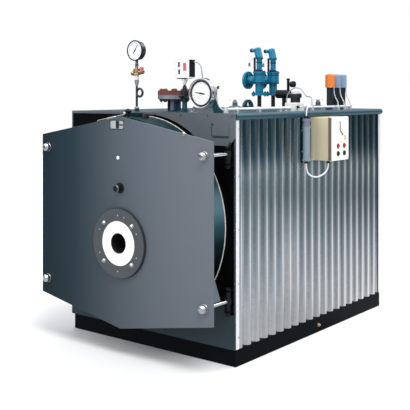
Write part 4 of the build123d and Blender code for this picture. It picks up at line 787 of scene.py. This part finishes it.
def on_pipe(z, x=GAUGE_X):
    """A place on the gauge's pipe at that height."""
    return (x, GAUGE_Y, z)


turned("gauge_face", "dial_white", "switch_white", (GAUGE_FACE, (GAUGE_X, GAUGE_FACE_Y, GAUGE_Z), AHEAD, 48))
dial_marks("gauge_marks", GAUGE_PLATE, (0.036, 0.045, 31, 0.0014), (55, 0.038, 0.020, 0.007))
turned(
    "gauge_rim", "bezel_dark", "gauge_case",
    (GAUGE_RIM, (GAUGE_X, GAUGE_FRONT, GAUGE_Z), AHEAD, 56), hollow=True,
)
turned(
    "gauge_nut", "steel", "chrome_rod",
    ([(0.0105, 0), (0.0105, 0.011), (0.0085, 0.013)], on_pipe(1.529), UP, 6),
    ([(0.0082, 0.013), (0.0082, 0.024)], on_pipe(1.529), UP, 20),
)
turned("cock_handle", "pink", "button_red", (HANDLE, on_pipe(1.5035, x=-0.114), UP, 20))
turned(
    "cock_plug", "brass", "brass",
    (PLUG_CONE, on_pipe(1.490, x=-0.166), LEFT, 20),
    ([(0.0215, 0), (0.0215, 0.007), (0.019, 0.010)], on_pipe(1.4795), UP, 8),
    (PLUG_END, on_pipe(1.4965, x=-0.1095), RIGHT, 20),
)
turned("siphon_collar", "white_plastic", "switch_white", (SIPHON_COLLAR, on_pipe(1.4515), UP, 24))
turned(
    "siphon_nuts", "tag_grey", "outlet_steel",
    ([(0.0066, 0), (0.0132, 0.027), (0.0132, 0.033), (0.012, 0.034)], on_pipe(1.417), UP, 24),
    ([(0.015, 0), (0.015, 0.006), (0.010, 0.010)], on_pipe(1.2925), UP, 6),
)

# Pressure switch: windows, red plate, black side cap and neck, then the nuts of its manifold
SWITCH_LOW, SWITCH_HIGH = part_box("pressure_switch")
SWITCH_X = (SWITCH_LOW[0] + SWITCH_HIGH[0]) / 2
SWITCH_NECK = [(0.008, -0.030), (0.010, -0.022), (0.017, -0.006), (0.017, -0.001)]
# Foot, radius and height of each nut
MANIFOLD_NUTS = (
    (1.2862, 0.0165, 0.012), (1.3335, 0.0245, 0.012), (1.3795, 0.0245, 0.012), (1.400, 0.0125, 0.014),
)


def on_switch(x, y, z):
    """A place measured from the switch's lower left front corner."""
    return (SWITCH_LOW[0] + x, SWITCH_LOW[1] + y, SWITCH_LOW[2] + z)


def in_switch(x, y, z):
    """A place measured from the switch's upper right rear corner."""
    return (SWITCH_HIGH[0] + x, SWITCH_HIGH[1] + y, SWITCH_HIGH[2] + z)


boards(
    "switch_windows", "ink", "black_plastic",
    (on_switch(0.024, -0.001, 0.062), on_switch(0.036, 0.0, 0.088)),
    (on_switch(0.026, -0.001, 0.024), on_switch(0.038, 0.0, 0.049)),
    bevel=0.0005,
)
boards(
    "switch_plate", "pink", "button_red",
    (on_switch(0.059, -0.001, 0.042), on_switch(0.081, 0.0, 0.084)), bevel=0.0005,
)
boards(
    "switch_side_cap", "black_plastic", "black_plastic",
    ((SWITCH_HIGH[0] - 0.003, *on_switch(0.0, -0.002, 0.008)[1:]), in_switch(0.002, 0.001, -0.003)),
    (on_switch(0.016, -0.0015, -0.002), (*in_switch(-0.018, -0.002, 0.0)[:2], SWITCH_LOW[2] + 0.003)),
    bevel=0.001,
)
NECK_PLACE = (SWITCH_X, SWITCH_Y, SWITCH_LOW[2] - 0.003)
turned("switch_neck", "white_plastic", "switch_white", (SWITCH_NECK, NECK_PLACE, UP, 24))
nuts = bmesh.new()
for base, radius, height in MANIFOLD_NUTS:
    profile = [(radius, 0), (radius, height * 0.8), (radius * 0.88, height)]
    lathe(nuts, profile, (SWITCH_X, SWITCH_Y, base), UP, 6)
bolt(nuts, (SWITCH_X, -0.746, 1.3625), AHEAD, 0.0095)
lathe(nuts, [(0.012, 0), (0.012, 0.020), (0.009, 0.023)], (SWITCH_X + 0.021, SWITCH_Y, 1.352), RIGHT, 6)
piece("manifold_nuts", nuts, "dark_steel")

# Large dial: face, ticks, needle, bright bezel and the wing of its bent plate
DIAL_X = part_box("dial_gauge")[0][0] + 0.115
DIAL_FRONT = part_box("dial_gauge")[0][1]
DIAL_FACE_Y = DIAL_FRONT + 0.0045
DIAL_PLATE = (DIAL_X, DIAL_FACE_Y - 0.001, DIAL_Z)
DIAL_BACK_Y = -0.7335
DIAL_FACE = [(0.0705, 0), (0.0705, 0.001)]
INNER_RING = [(0.0600, 0), (0.0695, 0), (0.0695, 0.0016), (0.0600, 0.0006)]
DIAL_RIM = [(0.0712, 0), (0.0798, 0), (0.0798, 0.0016), (0.077, 0.0036), (0.0725, 0.0026)]
BACK_RING = [(0.0715, 0), (0.0815, 0), (0.0815, 0.003), (0.0715, 0.003)]
DIAL_WING = [
    (0.380, 1.405), (0.4165, 1.405), (0.4170, 1.346), (0.4235, 1.324), (0.4380, 1.303), (0.4600, 1.286),
    (0.4600, ROOF_TOP), (0.400, ROOF_TOP),
]
turned("dial_face", "dial_white", "switch_white", (DIAL_FACE, (DIAL_X, DIAL_FACE_Y, DIAL_Z), AHEAD, 64))
dial_marks("dial_marks", DIAL_PLATE, (0.050, 0.058, 41, 0.0012), (172, 0.040, 0.024, 0.008))
turned("dial_inner_ring", "bezel_dark", "gauge_case", (INNER_RING, DIAL_PLATE, AHEAD, 64), hollow=True)
for name, profile, y in (("dial_rim", DIAL_RIM, DIAL_FRONT), ("dial_back_ring", BACK_RING, DIAL_BACK_Y)):
    turned(name, "chrome", "chrome_rod", (profile, (DIAL_X, y, DIAL_Z), AHEAD, 72), hollow=True)
wing = bmesh.new()
slab(wing, DIAL_WING, DIAL_BACK_Y - 0.0005, 0.0046)
piece("dial_wing", wing, "roof_teal", bevel=0.0005)

# Steam outlet: flange bolts with nuts above and below, gasket and weld
COUNTER_LOW, COUNTER_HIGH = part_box("counter_flange")
COUNTER_TOP = COUNTER_HIGH[2]
OUTLET_Y = (COUNTER_LOW[1] + COUNTER_HIGH[1]) / 2
OUTLET_WELD = [(0.0375, 0), (0.046, 0), (0.044, 0.003), (0.0385, 0.006)]
bolts = bmesh.new()
tops = bmesh.new()
for x, y, _ in around((0.0, OUTLET_Y, 0), 0.0725, 8, 0.0, "Z"):
    bolt(bolts, (x, y, COUNTER_TOP - 0.048), DOWN, 0.0125, 0.3)
    lathe(tops, [(0.0125, 0), (0.0125, 0.006), (0.0105, 0.008)], (x, y, COUNTER_TOP), UP, 6, 0.3)
    lathe(tops, [(0.0070, 0.007), (0.0070, 0.010), (0.0055, 0.011)], (x, y, COUNTER_TOP), UP, 14)
piece("outlet_bolts", bolts, "dark_steel")
piece("outlet_nuts", tops, "primer_red")
turned(
    "outlet_gasket", "ink", "black_plastic",
    ([(0.0905, -0.001), (0.0905, 0.001)], (0.0, OUTLET_Y, COUNTER_TOP - 0.026), UP, 64),
)
turned(
    "outlet_collar", "roof_teal", "roof_teal",
    (OUTLET_WELD, (0.0, OUTLET_Y, ROOF_TOP), UP, 48), hollow=True,
)

# Safety valves: flange bolts, ribs, boss ends, seals
VALVE_FLANGE_TOP = 1.380
VALVE_FLANGE_FOOT = 1.362
SIDE_FLANGE_X = -0.081
SIDE_FLANGE_Z = 1.461
BONNET_TOP = 1.515
# Height of each rib, its foot radius, radius, length, rounding and segments
VALVE_RIBS = (
    (1.441, 0.0385, 0.0405, 0.006, 0.001, 40), (1.492, 0.0385, 0.0400, 0.004, 0.001, 40),
    (1.572, 0.0185, 0.0205, 0.007, 0.001, 32),
)
BONNET_FOOT = [(0.0185, 0), (0.0225, 0.002), (0.0225, 0.012), (0.0185, 0.016)]
BOSS_END = [(0.0132, 0), (0.0132, 0.010), (0.0115, 0.0125), (0, 0.0135)]
FLANGE_BACK = [(0.0255, 0), (0.0335, 0), (0.0335, 0.0012), (0.0255, 0.0030)]
bolts, ribs, bosses, tags, backs = (bmesh.new() for _ in range(5))
for number, y in enumerate(VALVE_YS):
    for x, bolt_y, _ in around((0, y, 0), 0.037, 4, 45, "Z"):
        bolt(bolts, (x, bolt_y, VALVE_FLANGE_TOP), UP, 0.0075, 0.5 * number)
        nut(bolts, (x, bolt_y, VALVE_FLANGE_FOOT), DOWN, 0.0072, 0.006)
    for shift, _, z in around((0, 0, SIDE_FLANGE_Z), 0.0415, 4, 45):
        nut(bolts, (SIDE_FLANGE_X, y + shift, z), RIGHT, 0.0075, 0.006)
    for x, bolt_y, _ in around((0, y, 0), 0.0345, 6, 15, "Z"):
        lathe(bolts, [(0.0058, 0), (0.0058, 0.005), (0.003, 0.0065)], (x, bolt_y, BONNET_TOP), UP, 6)
    for z, foot, radius, length, round_off, segments in VALVE_RIBS:
        profile = [(foot, 0), (radius, round_off), (radius, length), (foot, length + round_off)]
        lathe(ribs, profile, (0, y, z), UP, segments)
    lathe(ribs, BONNET_FOOT, (0, y, BONNET_TOP + 0.001), UP, 32)
    lathe(bosses, BOSS_END, (-0.0545, y, 1.653), LEFT, 28)
    lathe(bosses, [(0.0262, -0.001), (0.0262, 0.0025)], (0, y, 1.601), UP, 32)
    wire = [(-0.0415, y - 0.012, 1.600), (-0.058, y - 0.018, 1.585), (-0.064, y - 0.020, 1.571)]
    tube(tags, wire, 0.0011, 6)
    board(tags, (-0.0652, y - 0.031, 1.549), (-0.0632, y - 0.009, 1.573))
    lathe(backs, FLANGE_BACK, (SIDE_FLANGE_X, y, SIDE_FLANGE_Z), RIGHT, 40, hollow=True)
piece("valve_flange_backs", backs, "valve_navy")
piece("valve_bolts", bolts, "dark_steel")
piece("valve_ribs", ribs, "valve_navy")
piece("valve_boss_ends", bosses, "black_plastic")
piece("valve_seals", tags, "tag_grey")

# Feed valve and drive: flange bolts, pale cap, black knob
FEED_TOP = 1.372
FEED_CAP = [(0.0300, 0), (0.0300, 0.006), (0.026, 0.013), (0.015, 0.018), (0, 0.020)]
FEED_WHEEL = [(0.0195, -0.020), (0.0205, -0.018), (0.0205, -0.004), (0.0185, 0), (0.006, 0.001)]
FEED_KNOB = [(0.0108, 0), (0.0118, 0.002), (0.0118, 0.008), (0.008, 0.010)]
parts = bmesh.new()
for x, y, _ in around((FEED_X, FEED_Y, 0), 0.0345, 6, 20, "Z"):
    lathe(parts, [(0.0048, 0), (0.0048, 0.004), (0.003, 0.005)], (x, y, FEED_TOP), UP, 6)
lathe(parts, [(0.0275, 0), (0.0275, 0.004), (0.012, 0.007)], (0.072, FEED_Y, 1.371), LEFT, 6)
piece("feed_bolts", parts, "tag_grey")
turned("feed_cap", "pale_cap", "head_plastic", (FEED_CAP, (FEED_X, FEED_Y, FEED_TOP), UP, 48))
turned(
    "feed_knob", "black_plastic", "black_plastic",
    (FEED_WHEEL, (0.202, FEED_Y, 1.434), RIGHT, 12),
    (FEED_KNOB, (0.154, FEED_Y, 1.462), UP, 18),
)

# Level electrodes: nuts at the foot and under the head
nuts = bmesh.new()
for y in ELECTRODE_YS:
    lathe(nuts, [(0.021, 0), (0.021, 0.012), (0.0185, 0.015)], (ELECTRODE_X, y, ROOF_TOP + 0.0005), UP, 6)
    lathe(nuts, [(0.0175, 0), (0.0175, 0.010), (0.015, 0.0125)], (ELECTRODE_X, y, 1.3985), UP, 6)
piece("electrode_nuts", nuts, "dark_steel")

# Junction box lid screws and the saddles of the conduit
JUNCTION_LID_Z = 1.322
SADDLE_YS = (0.050, 0.260, 0.400)
SADDLE_RADIUS = 0.0092
SADDLE_LENGTH = 0.014
SADDLE_TOP = ROOF_TOP + 0.0015
screws = bmesh.new()
for x in (0.449, 0.499):
    for y in (-0.111, -0.011):
        screw(screws, (x, y, JUNCTION_LID_Z), UP, 0.0032)
for y in SADDLE_YS:
    for x in (0.462, 0.486):
        screw(screws, (x, y, ROOF_TOP + 0.0012), UP, 0.0034)
piece("junction_screws", screws, "tag_grey")
saddles = bmesh.new()
outline = [(0.456, ROOF_TOP - 0.0005), (0.456, SADDLE_TOP), (0.4645, SADDLE_TOP)]
for step in range(9):
    angle = math.pi - math.pi * step / 8
    outline.append((TRUNK_X + SADDLE_RADIUS * math.cos(angle), TRUNK_Z + SADDLE_RADIUS * math.sin(angle)))
outline += [(0.4835, SADDLE_TOP), (0.492, SADDLE_TOP), (0.492, ROOF_TOP - 0.0005)]
for y in SADDLE_YS:
    slab(saddles, outline, y - SADDLE_LENGTH / 2, SADDLE_LENGTH)
piece("trunk_saddles", saddles, "galvanised_bright")

# Inspection caps: rim bolts
CAP_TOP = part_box("inspection_caps")[1][2]
bolts = bmesh.new()
for x, y in ((0.0, 0.004), (0.300, 0.496)):
    for place in around((x, y, CAP_TOP - 0.0005), 0.030, 4, 45, "Z"):
        lathe(bolts, [(0.0042, 0), (0.0042, 0.0035), (0.0030, 0.0045)], place, UP, 6)
piece("cap_bolts", bolts, "tag_grey")

# Door: data plate without any text, white plug, stud and a thin bright rod along the top edge that is a
# painted highlight of the edge
PLATE_LEFT, PLATE_RIGHT = -0.072, 0.028
PLATE_FOOT, PLATE_TOP = 1.189, 1.236
PLATE_EDGE = 0.0025
PLATE_FRONT = DOOR_FRONT - 0.0016
boards(
    "data_plate", "plate_bare", "bright_trim",
    ((PLATE_LEFT, PLATE_FRONT, PLATE_FOOT), (PLATE_RIGHT, DOOR_FRONT, PLATE_TOP)), body="door", bevel=0.0006,
)
border = bmesh.new()
for left, foot, right, top in (
    (PLATE_LEFT, PLATE_FOOT, PLATE_RIGHT, PLATE_FOOT + PLATE_EDGE),
    (PLATE_LEFT, PLATE_TOP - PLATE_EDGE, PLATE_RIGHT, PLATE_TOP),
    (PLATE_LEFT, PLATE_FOOT, PLATE_LEFT + PLATE_EDGE, PLATE_TOP),
    (PLATE_RIGHT - PLATE_EDGE, PLATE_FOOT, PLATE_RIGHT, PLATE_TOP),
    (-0.030, 1.193, -0.006, 1.232),
    (-0.006, 1.209, 0.026, 1.215),
):
    board(border, (left, DOOR_FRONT - 0.0026, foot), (right, DOOR_FRONT - 0.0012, top))
for x in (-0.0665, 0.0225):
    for z in (1.1945, 1.2305):
        screw(border, (x, PLATE_FRONT, z), AHEAD, 0.0025)
piece("data_plate_border", border, "dark_steel", body="door")
DOOR_PLUG = [(0.0095, 0), (0.0095, 0.0025), (0.0070, 0.0050), (0, 0.0058)]
DOOR_STUD = [(0.010, 0), (0.010, 0.004), (0.0075, 0.006), (0.0075, 0.010), (0, 0.012)]
turned(
    "door_plug", "white_plastic", "switch_white",
    (DOOR_PLUG, (-0.015, DOOR_FRONT, 1.039), AHEAD, 28), body="door",
)
turned(
    "door_stud", "chrome", "chrome_rod",
    (DOOR_STUD, (0.434, DOOR_FRONT, 1.178), AHEAD, 20), body="door",
)
ROD_Y = DOOR_FRONT + 0.007


def by_edge(x, rise):
    """A place on the rod, so far above the door's upper edge."""
    return (x, ROD_Y, edge_height(x) + rise)


EDGE_HIGHLIGHT_ROD = [
    by_edge(-0.172, -0.012), by_edge(-0.172, 0.006), by_edge(-0.165, 0.0045), by_edge(-0.110, 0.0045),
    by_edge(0.0, 0.005), (0.022, ROD_Y, DOOR_TOP + 0.012),
]
EDGE_SLOPE = (DOOR_SIDE, 0, DOOR_PEAK)
ROD_END = [(0.006, 0), (0.0085, 0.004), (0.0085, 0.012), (0.005, 0.016)]
# Painted highlight: a thin bright rod along the door's upper edge
rod = bmesh.new()
tube(rod, EDGE_HIGHLIGHT_ROD, 0.0042)
nut(rod, by_edge(-0.100, 0.0045), EDGE_SLOPE, 0.0058, 0.060, 14)
lathe(rod, ROD_END, (0.018, ROD_Y, DOOR_TOP + 0.010), (0.6, 0, 0.8), 20)
piece("door_edge_highlight_rod", rod, "chrome", body="door")

# Door: knob, block and cap at the top of the drum
DRUM_KNOB = [(0.012, 0), (0.019, 0.004), (0.019, 0.012), (0.012, 0.020), (0, 0.023)]
DRUM_CAP = [(0.021, 0), (0.021, 0.010), (0.017, 0.022), (0.014, 0.024)]
DRUM_BLOCK = ((-0.018, -0.925, DRUM_TOP - 0.004), (0.042, -0.880, DRUM_TOP + 0.020))
turned(
    "drum_knob", "black_plastic", "black_plastic",
    ([(0.010, 0), (0.010, 0.022)], (-0.052, DRUM_Y, DRUM_TOP - 0.004), UP, 20),
    (DRUM_KNOB, (-0.052, DRUM_Y, DRUM_TOP + 0.018), UP, 28),
    body="door",
)
boards("drum_block", "drum_teal", "shell_teal", DRUM_BLOCK, body="door", bevel=0.003)
turned(
    "drum_cap", "black_plastic", "black_plastic",
    (DRUM_CAP, (0.072, DRUM_Y, DRUM_TOP - 0.007), UP, 28), body="door",
)

# Burner flange: studs with nuts, small screws and a black ring round its edge that is a painted shadow of
# the flange on the door
STUD_CIRCLE = 0.1415
SCREW_CIRCLE = 0.146
BURNER_SHADOW_RING = [(0.1808, 0), (0.1835, 0), (0.1835, 0.0150), (0.1808, 0.0160)]
studs = bmesh.new()
for place in around((0.0, BURNER_FRONT, BURNER_Z), STUD_CIRCLE, 4, 45):
    bolt(studs, place, AHEAD, 0.0105, 0.2)
piece("burner_studs", studs, "chrome", body="door")
screws = bmesh.new()
for angle in (25, 72, 90, 155, 205, 270, 335):
    place = around((0.0, BURNER_FRONT, BURNER_Z), SCREW_CIRCLE, 1, angle)[0]
    screw(screws, place, AHEAD, 0.0042)
piece("burner_screws", screws, "tag_grey", body="door")
# Painted shadow: a black ring round the flange's edge
turned(
    "burner_shadow_ring", "ink", "black_plastic",
    (BURNER_SHADOW_RING, (0.0, DOOR_FRONT, BURNER_Z), AHEAD, 96), body="door", hollow=True,
)

# Sight port: metal ring round the knob
SIGHT_PLACE = (0.0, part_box("sight_port")[0][1] + 0.0003, 0.881)
SIGHT_RING = [(0.0168, 0), (0.0182, 0), (0.0192, -0.0012), (0.0192, -0.0075), (0.0168, -0.0075)]
turned("sight_ring", "steel", "chrome_rod", (SIGHT_RING, SIGHT_PLACE, AHEAD, 40), body="door", hollow=True)

# Clamps: washers under the domed nuts
CLAMP_X = 0.561
CLAMP_ZS = (0.336, 1.074)
WASHER = [(0.0245, 0), (0.0245, 0.003), (0.0235, 0.0035)]
clamp_places = [(x, DOOR_FRONT, z) for x in (-CLAMP_X, CLAMP_X) for z in CLAMP_ZS]
washers = [(WASHER, place, AHEAD, 36) for place in clamp_places]
turned("clamp_washers", "steel", "chrome_rod", *washers, body="door")


# Hood and lower panel: hatch outline with screws, and a black panel on the left that is a painted dark
# reflection of the hood's left side
def on_hood(left, foot, right, top, front, back=0.0):
    """A thin block that stands before the hood's front, between two distances from it."""
    return ((left, HOOD_FRONT - front, foot), (right, HOOD_FRONT - back, top))


HATCH_BLOCK = on_hood(0.444, 1.152, 0.561, 1.233, 0.0012)
boards("hood_hatch", "hood_grey", "hood_teal", HATCH_BLOCK, bevel=0.0005)
boards(
    "hatch_slots", "ink", "black_plastic",
    on_hood(0.452, 1.153, 0.553, 1.162, 0.0022, 0.0008),
    on_hood(0.4445, 1.160, 0.4480, 1.226, 0.0020, 0.0008),
    on_hood(0.5560, 1.119, 0.5700, 1.131, 0.0022, 0.0004),
    on_hood(0.4470, 1.214, 0.4570, 1.224, 0.0030, 0.0008),
)
dots = bmesh.new()
for step in range(9):
    screw(dots, (0.5555, HOOD_FRONT - 0.0012, 1.160 + 0.0085 * step), AHEAD, 0.0018)
piece("hatch_screws", dots, "ink")
# Painted dark reflection: a black panel over the hood's left side
HOOD_DARK_REFLECTION = on_hood(-0.580, 1.122, -0.050, 1.262, 0.0012)
boards("hood_left_dark_reflection", "recess_black", "recess_black", HOOD_DARK_REFLECTION, bevel=0.0005)
screws = bmesh.new()
for x in (0.060, 0.240, 0.420, 0.575):
    screw(screws, (x, HOOD_FRONT, 1.263), AHEAD, 0.0042)
for x in (-0.540, -0.270, 0.0, 0.270, 0.540):
    screw(screws, (x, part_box("lower_front_panel")[0][1], 0.300), AHEAD, 0.0045)
piece("front_screws", screws, "dark_steel")

# Roof: a thin light line along the front lip, a painted highlight
LIP_HIGHLIGHT_Z = ROOF_TOP - 0.0085
edge = bmesh.new()
tube(edge, [(x, ROOF_FRONT - HAIR, LIP_HIGHLIGHT_Z) for x in (-0.575, 0.575)], 0.0010, 8)
piece("roof_lip_highlight", edge, "tag_grey")

# Cladding and trims: roofing screws in the valleys and rivets, on both sides
CLAD_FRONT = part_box("right_cladding")[0][1]
CLAD_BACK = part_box("right_cladding")[1][1]
BEHIND_BOX = (-0.09, 0.19)
screws = bmesh.new()
for side in (1, -1):
    for z in (0.140, 0.660, 1.190):
        for step in range(1, 20, 3):
            y = CLAD_FRONT + CORRUGATION / 2 + CORRUGATION * step
            hidden = z > 0.9 and side == 1 and BEHIND_BOX[0] < y < BEHIND_BOX[1]
            if not hidden and y <= CLAD_BACK - 0.02:
                screw(screws, (side * VALLEY_X, y, z), (side, 0, 0), 0.0055)
piece("cladding_screws", screws, "tag_grey")
rivets = bmesh.new()
for side in (1, -1):
    for z in (0.150, 0.420, 0.690, 0.960, 1.200):
        screw(rivets, (side * 0.592, FRONT + 0.022, z), (side, 0, 0), 0.0035)
        screw(rivets, (side * 0.582, FRONT, z), AHEAD, 0.0030)
piece("trim_rivets", rivets, "tag_grey")

# Base: earth bolt on the right rail
earth = bmesh.new()
bolt(earth, (0.584, 0.019, 0.041), RIGHT, 0.0100)
piece("earth_bolt", earth, "brass")

# Control box: a brown seam strip that is painted shade of the cover's gap and side, a dark line and small
# plate on the cover, screws and button rims
BOX_LOW, BOX_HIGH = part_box("control_box")
COVER_LOW, COVER_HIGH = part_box("control_cover")
COVER_X = COVER_HIGH[0]
SEAM_FRONT = COVER_LOW[1] - 0.0010
SEAM_FOOT = COVER_LOW[2] + 0.002
SEAM_TOP = COVER_HIGH[2] - 0.002
LINE_POINTS = (
    (0.053, 1.217), (0.055, 1.190), (0.054, 1.168), (0.064, 1.156), (0.078, 1.150), (0.088, 1.141),
    (0.074, 1.139),
)
BUTTON_RIM = [(0.0145, 0), (0.0145, 0.0018), (0.0120, 0.0018)]
# Painted shade: a brown strip along the cover's front left edge
boards(
    "box_seam_shade", "seam_shade_brown", "box_ivory",
    ((COVER_LOW[0] + HAIR, SEAM_FRONT, SEAM_FOOT), (COVER_X + 0.0010, COVER_LOW[1] + HAIR, SEAM_TOP)),
    ((COVER_X - 0.0010, SEAM_FRONT, SEAM_FOOT), (COVER_X + 0.0012, COVER_LOW[1] + 0.0140, SEAM_TOP)),
    bevel=HAIR,
)
line = bmesh.new()
tube(line, [(COVER_X + 0.0008, y, z) for y, z in LINE_POINTS], 0.0030, 8)
piece("cover_line", line, "ink")
boards(
    "cover_plate", "box_beige", "box_ivory",
    ((COVER_X - HAIR, 0.100, 1.108), (COVER_X + 0.0010, 0.122, 1.138)), bevel=HAIR,
)
screws = bmesh.new()
for y in (BOX_LOW[1] + 0.012, BOX_HIGH[1] - 0.012):
    for z in (BOX_LOW[2] + 0.012, BOX_HIGH[2] - 0.012):
        screw(screws, (COVER_X - 0.0005, y, z), RIGHT, 0.0042)
piece("cover_screws", screws, "tag_grey")
rim_places = [(COVER_X - HAIR, y, z) for y in (0.0313, 0.102) for z in (1.077, 1.034)]
rims = [(BUTTON_RIM, place, RIGHT, 32) for place in rim_places]
turned("button_rims", "ink", "black_plastic", *rims)

# Riser: bright collars round the tube
RISER_COLLAR = [(0.0205, 0), (0.0238, 0.001), (0.0238, 0.011), (0.0205, 0.012)]
collars = [(RISER_COLLAR, (RISER_X, RISER_Y, z), UP, 36) for z in (1.001, 1.184)]
turned("riser_collars", "white_plastic", "conduit_silver", *collars, hollow=True)

# Gasket rope where it bulges round the drum's rear rim
ROPE_BULGE = [(0.5542, 0), (0.5568, 0.0008), (0.5578, 0.0030), (0.5568, 0.0052), (0.5542, 0.0060)]
turned(
    "rope_bulge", "rope", "rope",
    (ROPE_BULGE, (0.0, ROPE_FRONT, SHELL_Z), BACK, 180), body="door", hollow=True,
)


# Floor: plain white to look at, and graded like a studio floor where metal mirrors it; there it glows as a
# painted reflection, in rings and brighter toward one side
FLOOR_RADIUS = 14.0
FLOOR_RINGS = (
    (0.0, (0.95, 0.95, 0.98)), (3.0, (0.95, 0.95, 0.98)), (5.0, (0.72, 0.74, 0.80)),
    (7.0, (0.34, 0.38, 0.42)), (9.0, (0.42, 0.46, 0.50)), (10.5, (0.85, 0.88, 0.90)),
    (12.5, (0.80, 0.84, 0.86)), (13.4, (0.07, 0.09, 0.10)), (FLOOR_RADIUS, (0.06, 0.08, 0.09)),
)
FLOOR_LIT_WAY = (0.559, 0.829, 0.0)
floor_mesh = bpy.data.meshes.new("floor")
shape = bmesh.new()
bmesh.ops.create_circle(shape, cap_ends=True, segments=96, radius=FLOOR_RADIUS)
shape.to_mesh(floor_mesh)
shape.free()
floor = bpy.data.objects.new("floor", floor_mesh)
scene.collection.objects.link(floor)
floor_look = surface("floor_white", (0.90, 0.90, 0.91), 0.7, shade=0.01, grain=0.0)
tree = floor_look.node_tree
place, _ = places(tree)
rings = stepped(tree, vector(tree, "LENGTH", place, output="Value"), FLOOR_RINGS, "EASE")
side = vector(tree, "DOT_PRODUCT", vector(tree, "NORMALIZE", place), FLOOR_LIT_WAY, output="Value")
strength = remap(tree, side, 0.80, 0.98, 0.5, 1.0)
glow = wired(tree, "ShaderNodeEmission", "Emission", {"Color": rings, "Strength": strength})
mirrored = wired(tree, "ShaderNodeLightPath", "Is Glossy Ray")
plain = shader_of(tree).outputs["BSDF"]
both = wired(tree, "ShaderNodeMixShader", "Shader", {"Fac": mirrored, 1: plain, 2: glow})
fill(next(n for n in tree.nodes if n.type == "OUTPUT_MATERIAL"), {"Surface": both})
floor_mesh.materials.append(floor_look)

# World: white to look at, a dim horizon and a bright sky where metal mirrors it
SKY_STOPS = (
    (0.0, (0.75, 0.75, 0.76)), (0.447, (0.05, 0.07, 0.08)), (0.56, (0.05, 0.07, 0.08)),
    (0.655, (0.75, 0.76, 0.78)), (1.0, (1.0, 1.0, 1.0)),
)
SOFT_BOX_WAY = (0.30, -0.95, 0.0)
SOFT_BOX_TONE = (0.75, 0.76, 0.80, 1.0)
WHITE = (1.0, 1.0, 1.0, 1.0)
world = bpy.data.worlds.new("studio")
scene.world = world
world.use_nodes = True
tree = world.node_tree
tree.nodes.clear()
way = wired(tree, "ShaderNodeTexCoord", "Generated")
rise = wired(tree, "ShaderNodeSeparateXYZ", "Z", {"Vector": way})
share = wired(tree, "ShaderNodeMath", "Value", {0: rise, 1: 0.5, 2: 0.5}, operation="MULTIPLY_ADD")
side = vector(tree, "DOT_PRODUCT", way, SOFT_BOX_WAY, output="Value")
studio = mixed(tree, remap(tree, side, 0.45, 1.0, 0.0, 0.6), ramp(tree, share, SKY_STOPS), SOFT_BOX_TONE)
seen = wired(tree, "ShaderNodeLightPath", "Is Camera Ray")
tone = mixed(tree, seen, studio, WHITE)
light = wired(tree, "ShaderNodeBackground", "Background", {"Color": tone, "Strength": 1.0})
fill(tree.nodes.new("ShaderNodeOutputWorld"), {"Surface": light})


def sun(name, toward, strength, angle):
    """A soft distant light that shines along the direction."""
    light = bpy.data.lights.new(name, "SUN")
    light.energy = strength
    light.angle = math.radians(angle)
    lamp = bpy.data.objects.new(name, light)
    scene.collection.objects.link(lamp)
    lamp.rotation_euler = Vector(toward).to_track_quat("-Z", "Y").to_euler()


sun("key", (-0.45, 0.25, -0.85), 1.6, 25)
sun("rear", (-0.30, -0.60, -0.74), 0.9, 30)
sun("fill", (0.2, 0.9, -0.5), 0.85, 40)
scene.view_settings.view_transform = "Standard"
scene.view_settings.look = "None"
scene.view_settings.exposure = 0.0
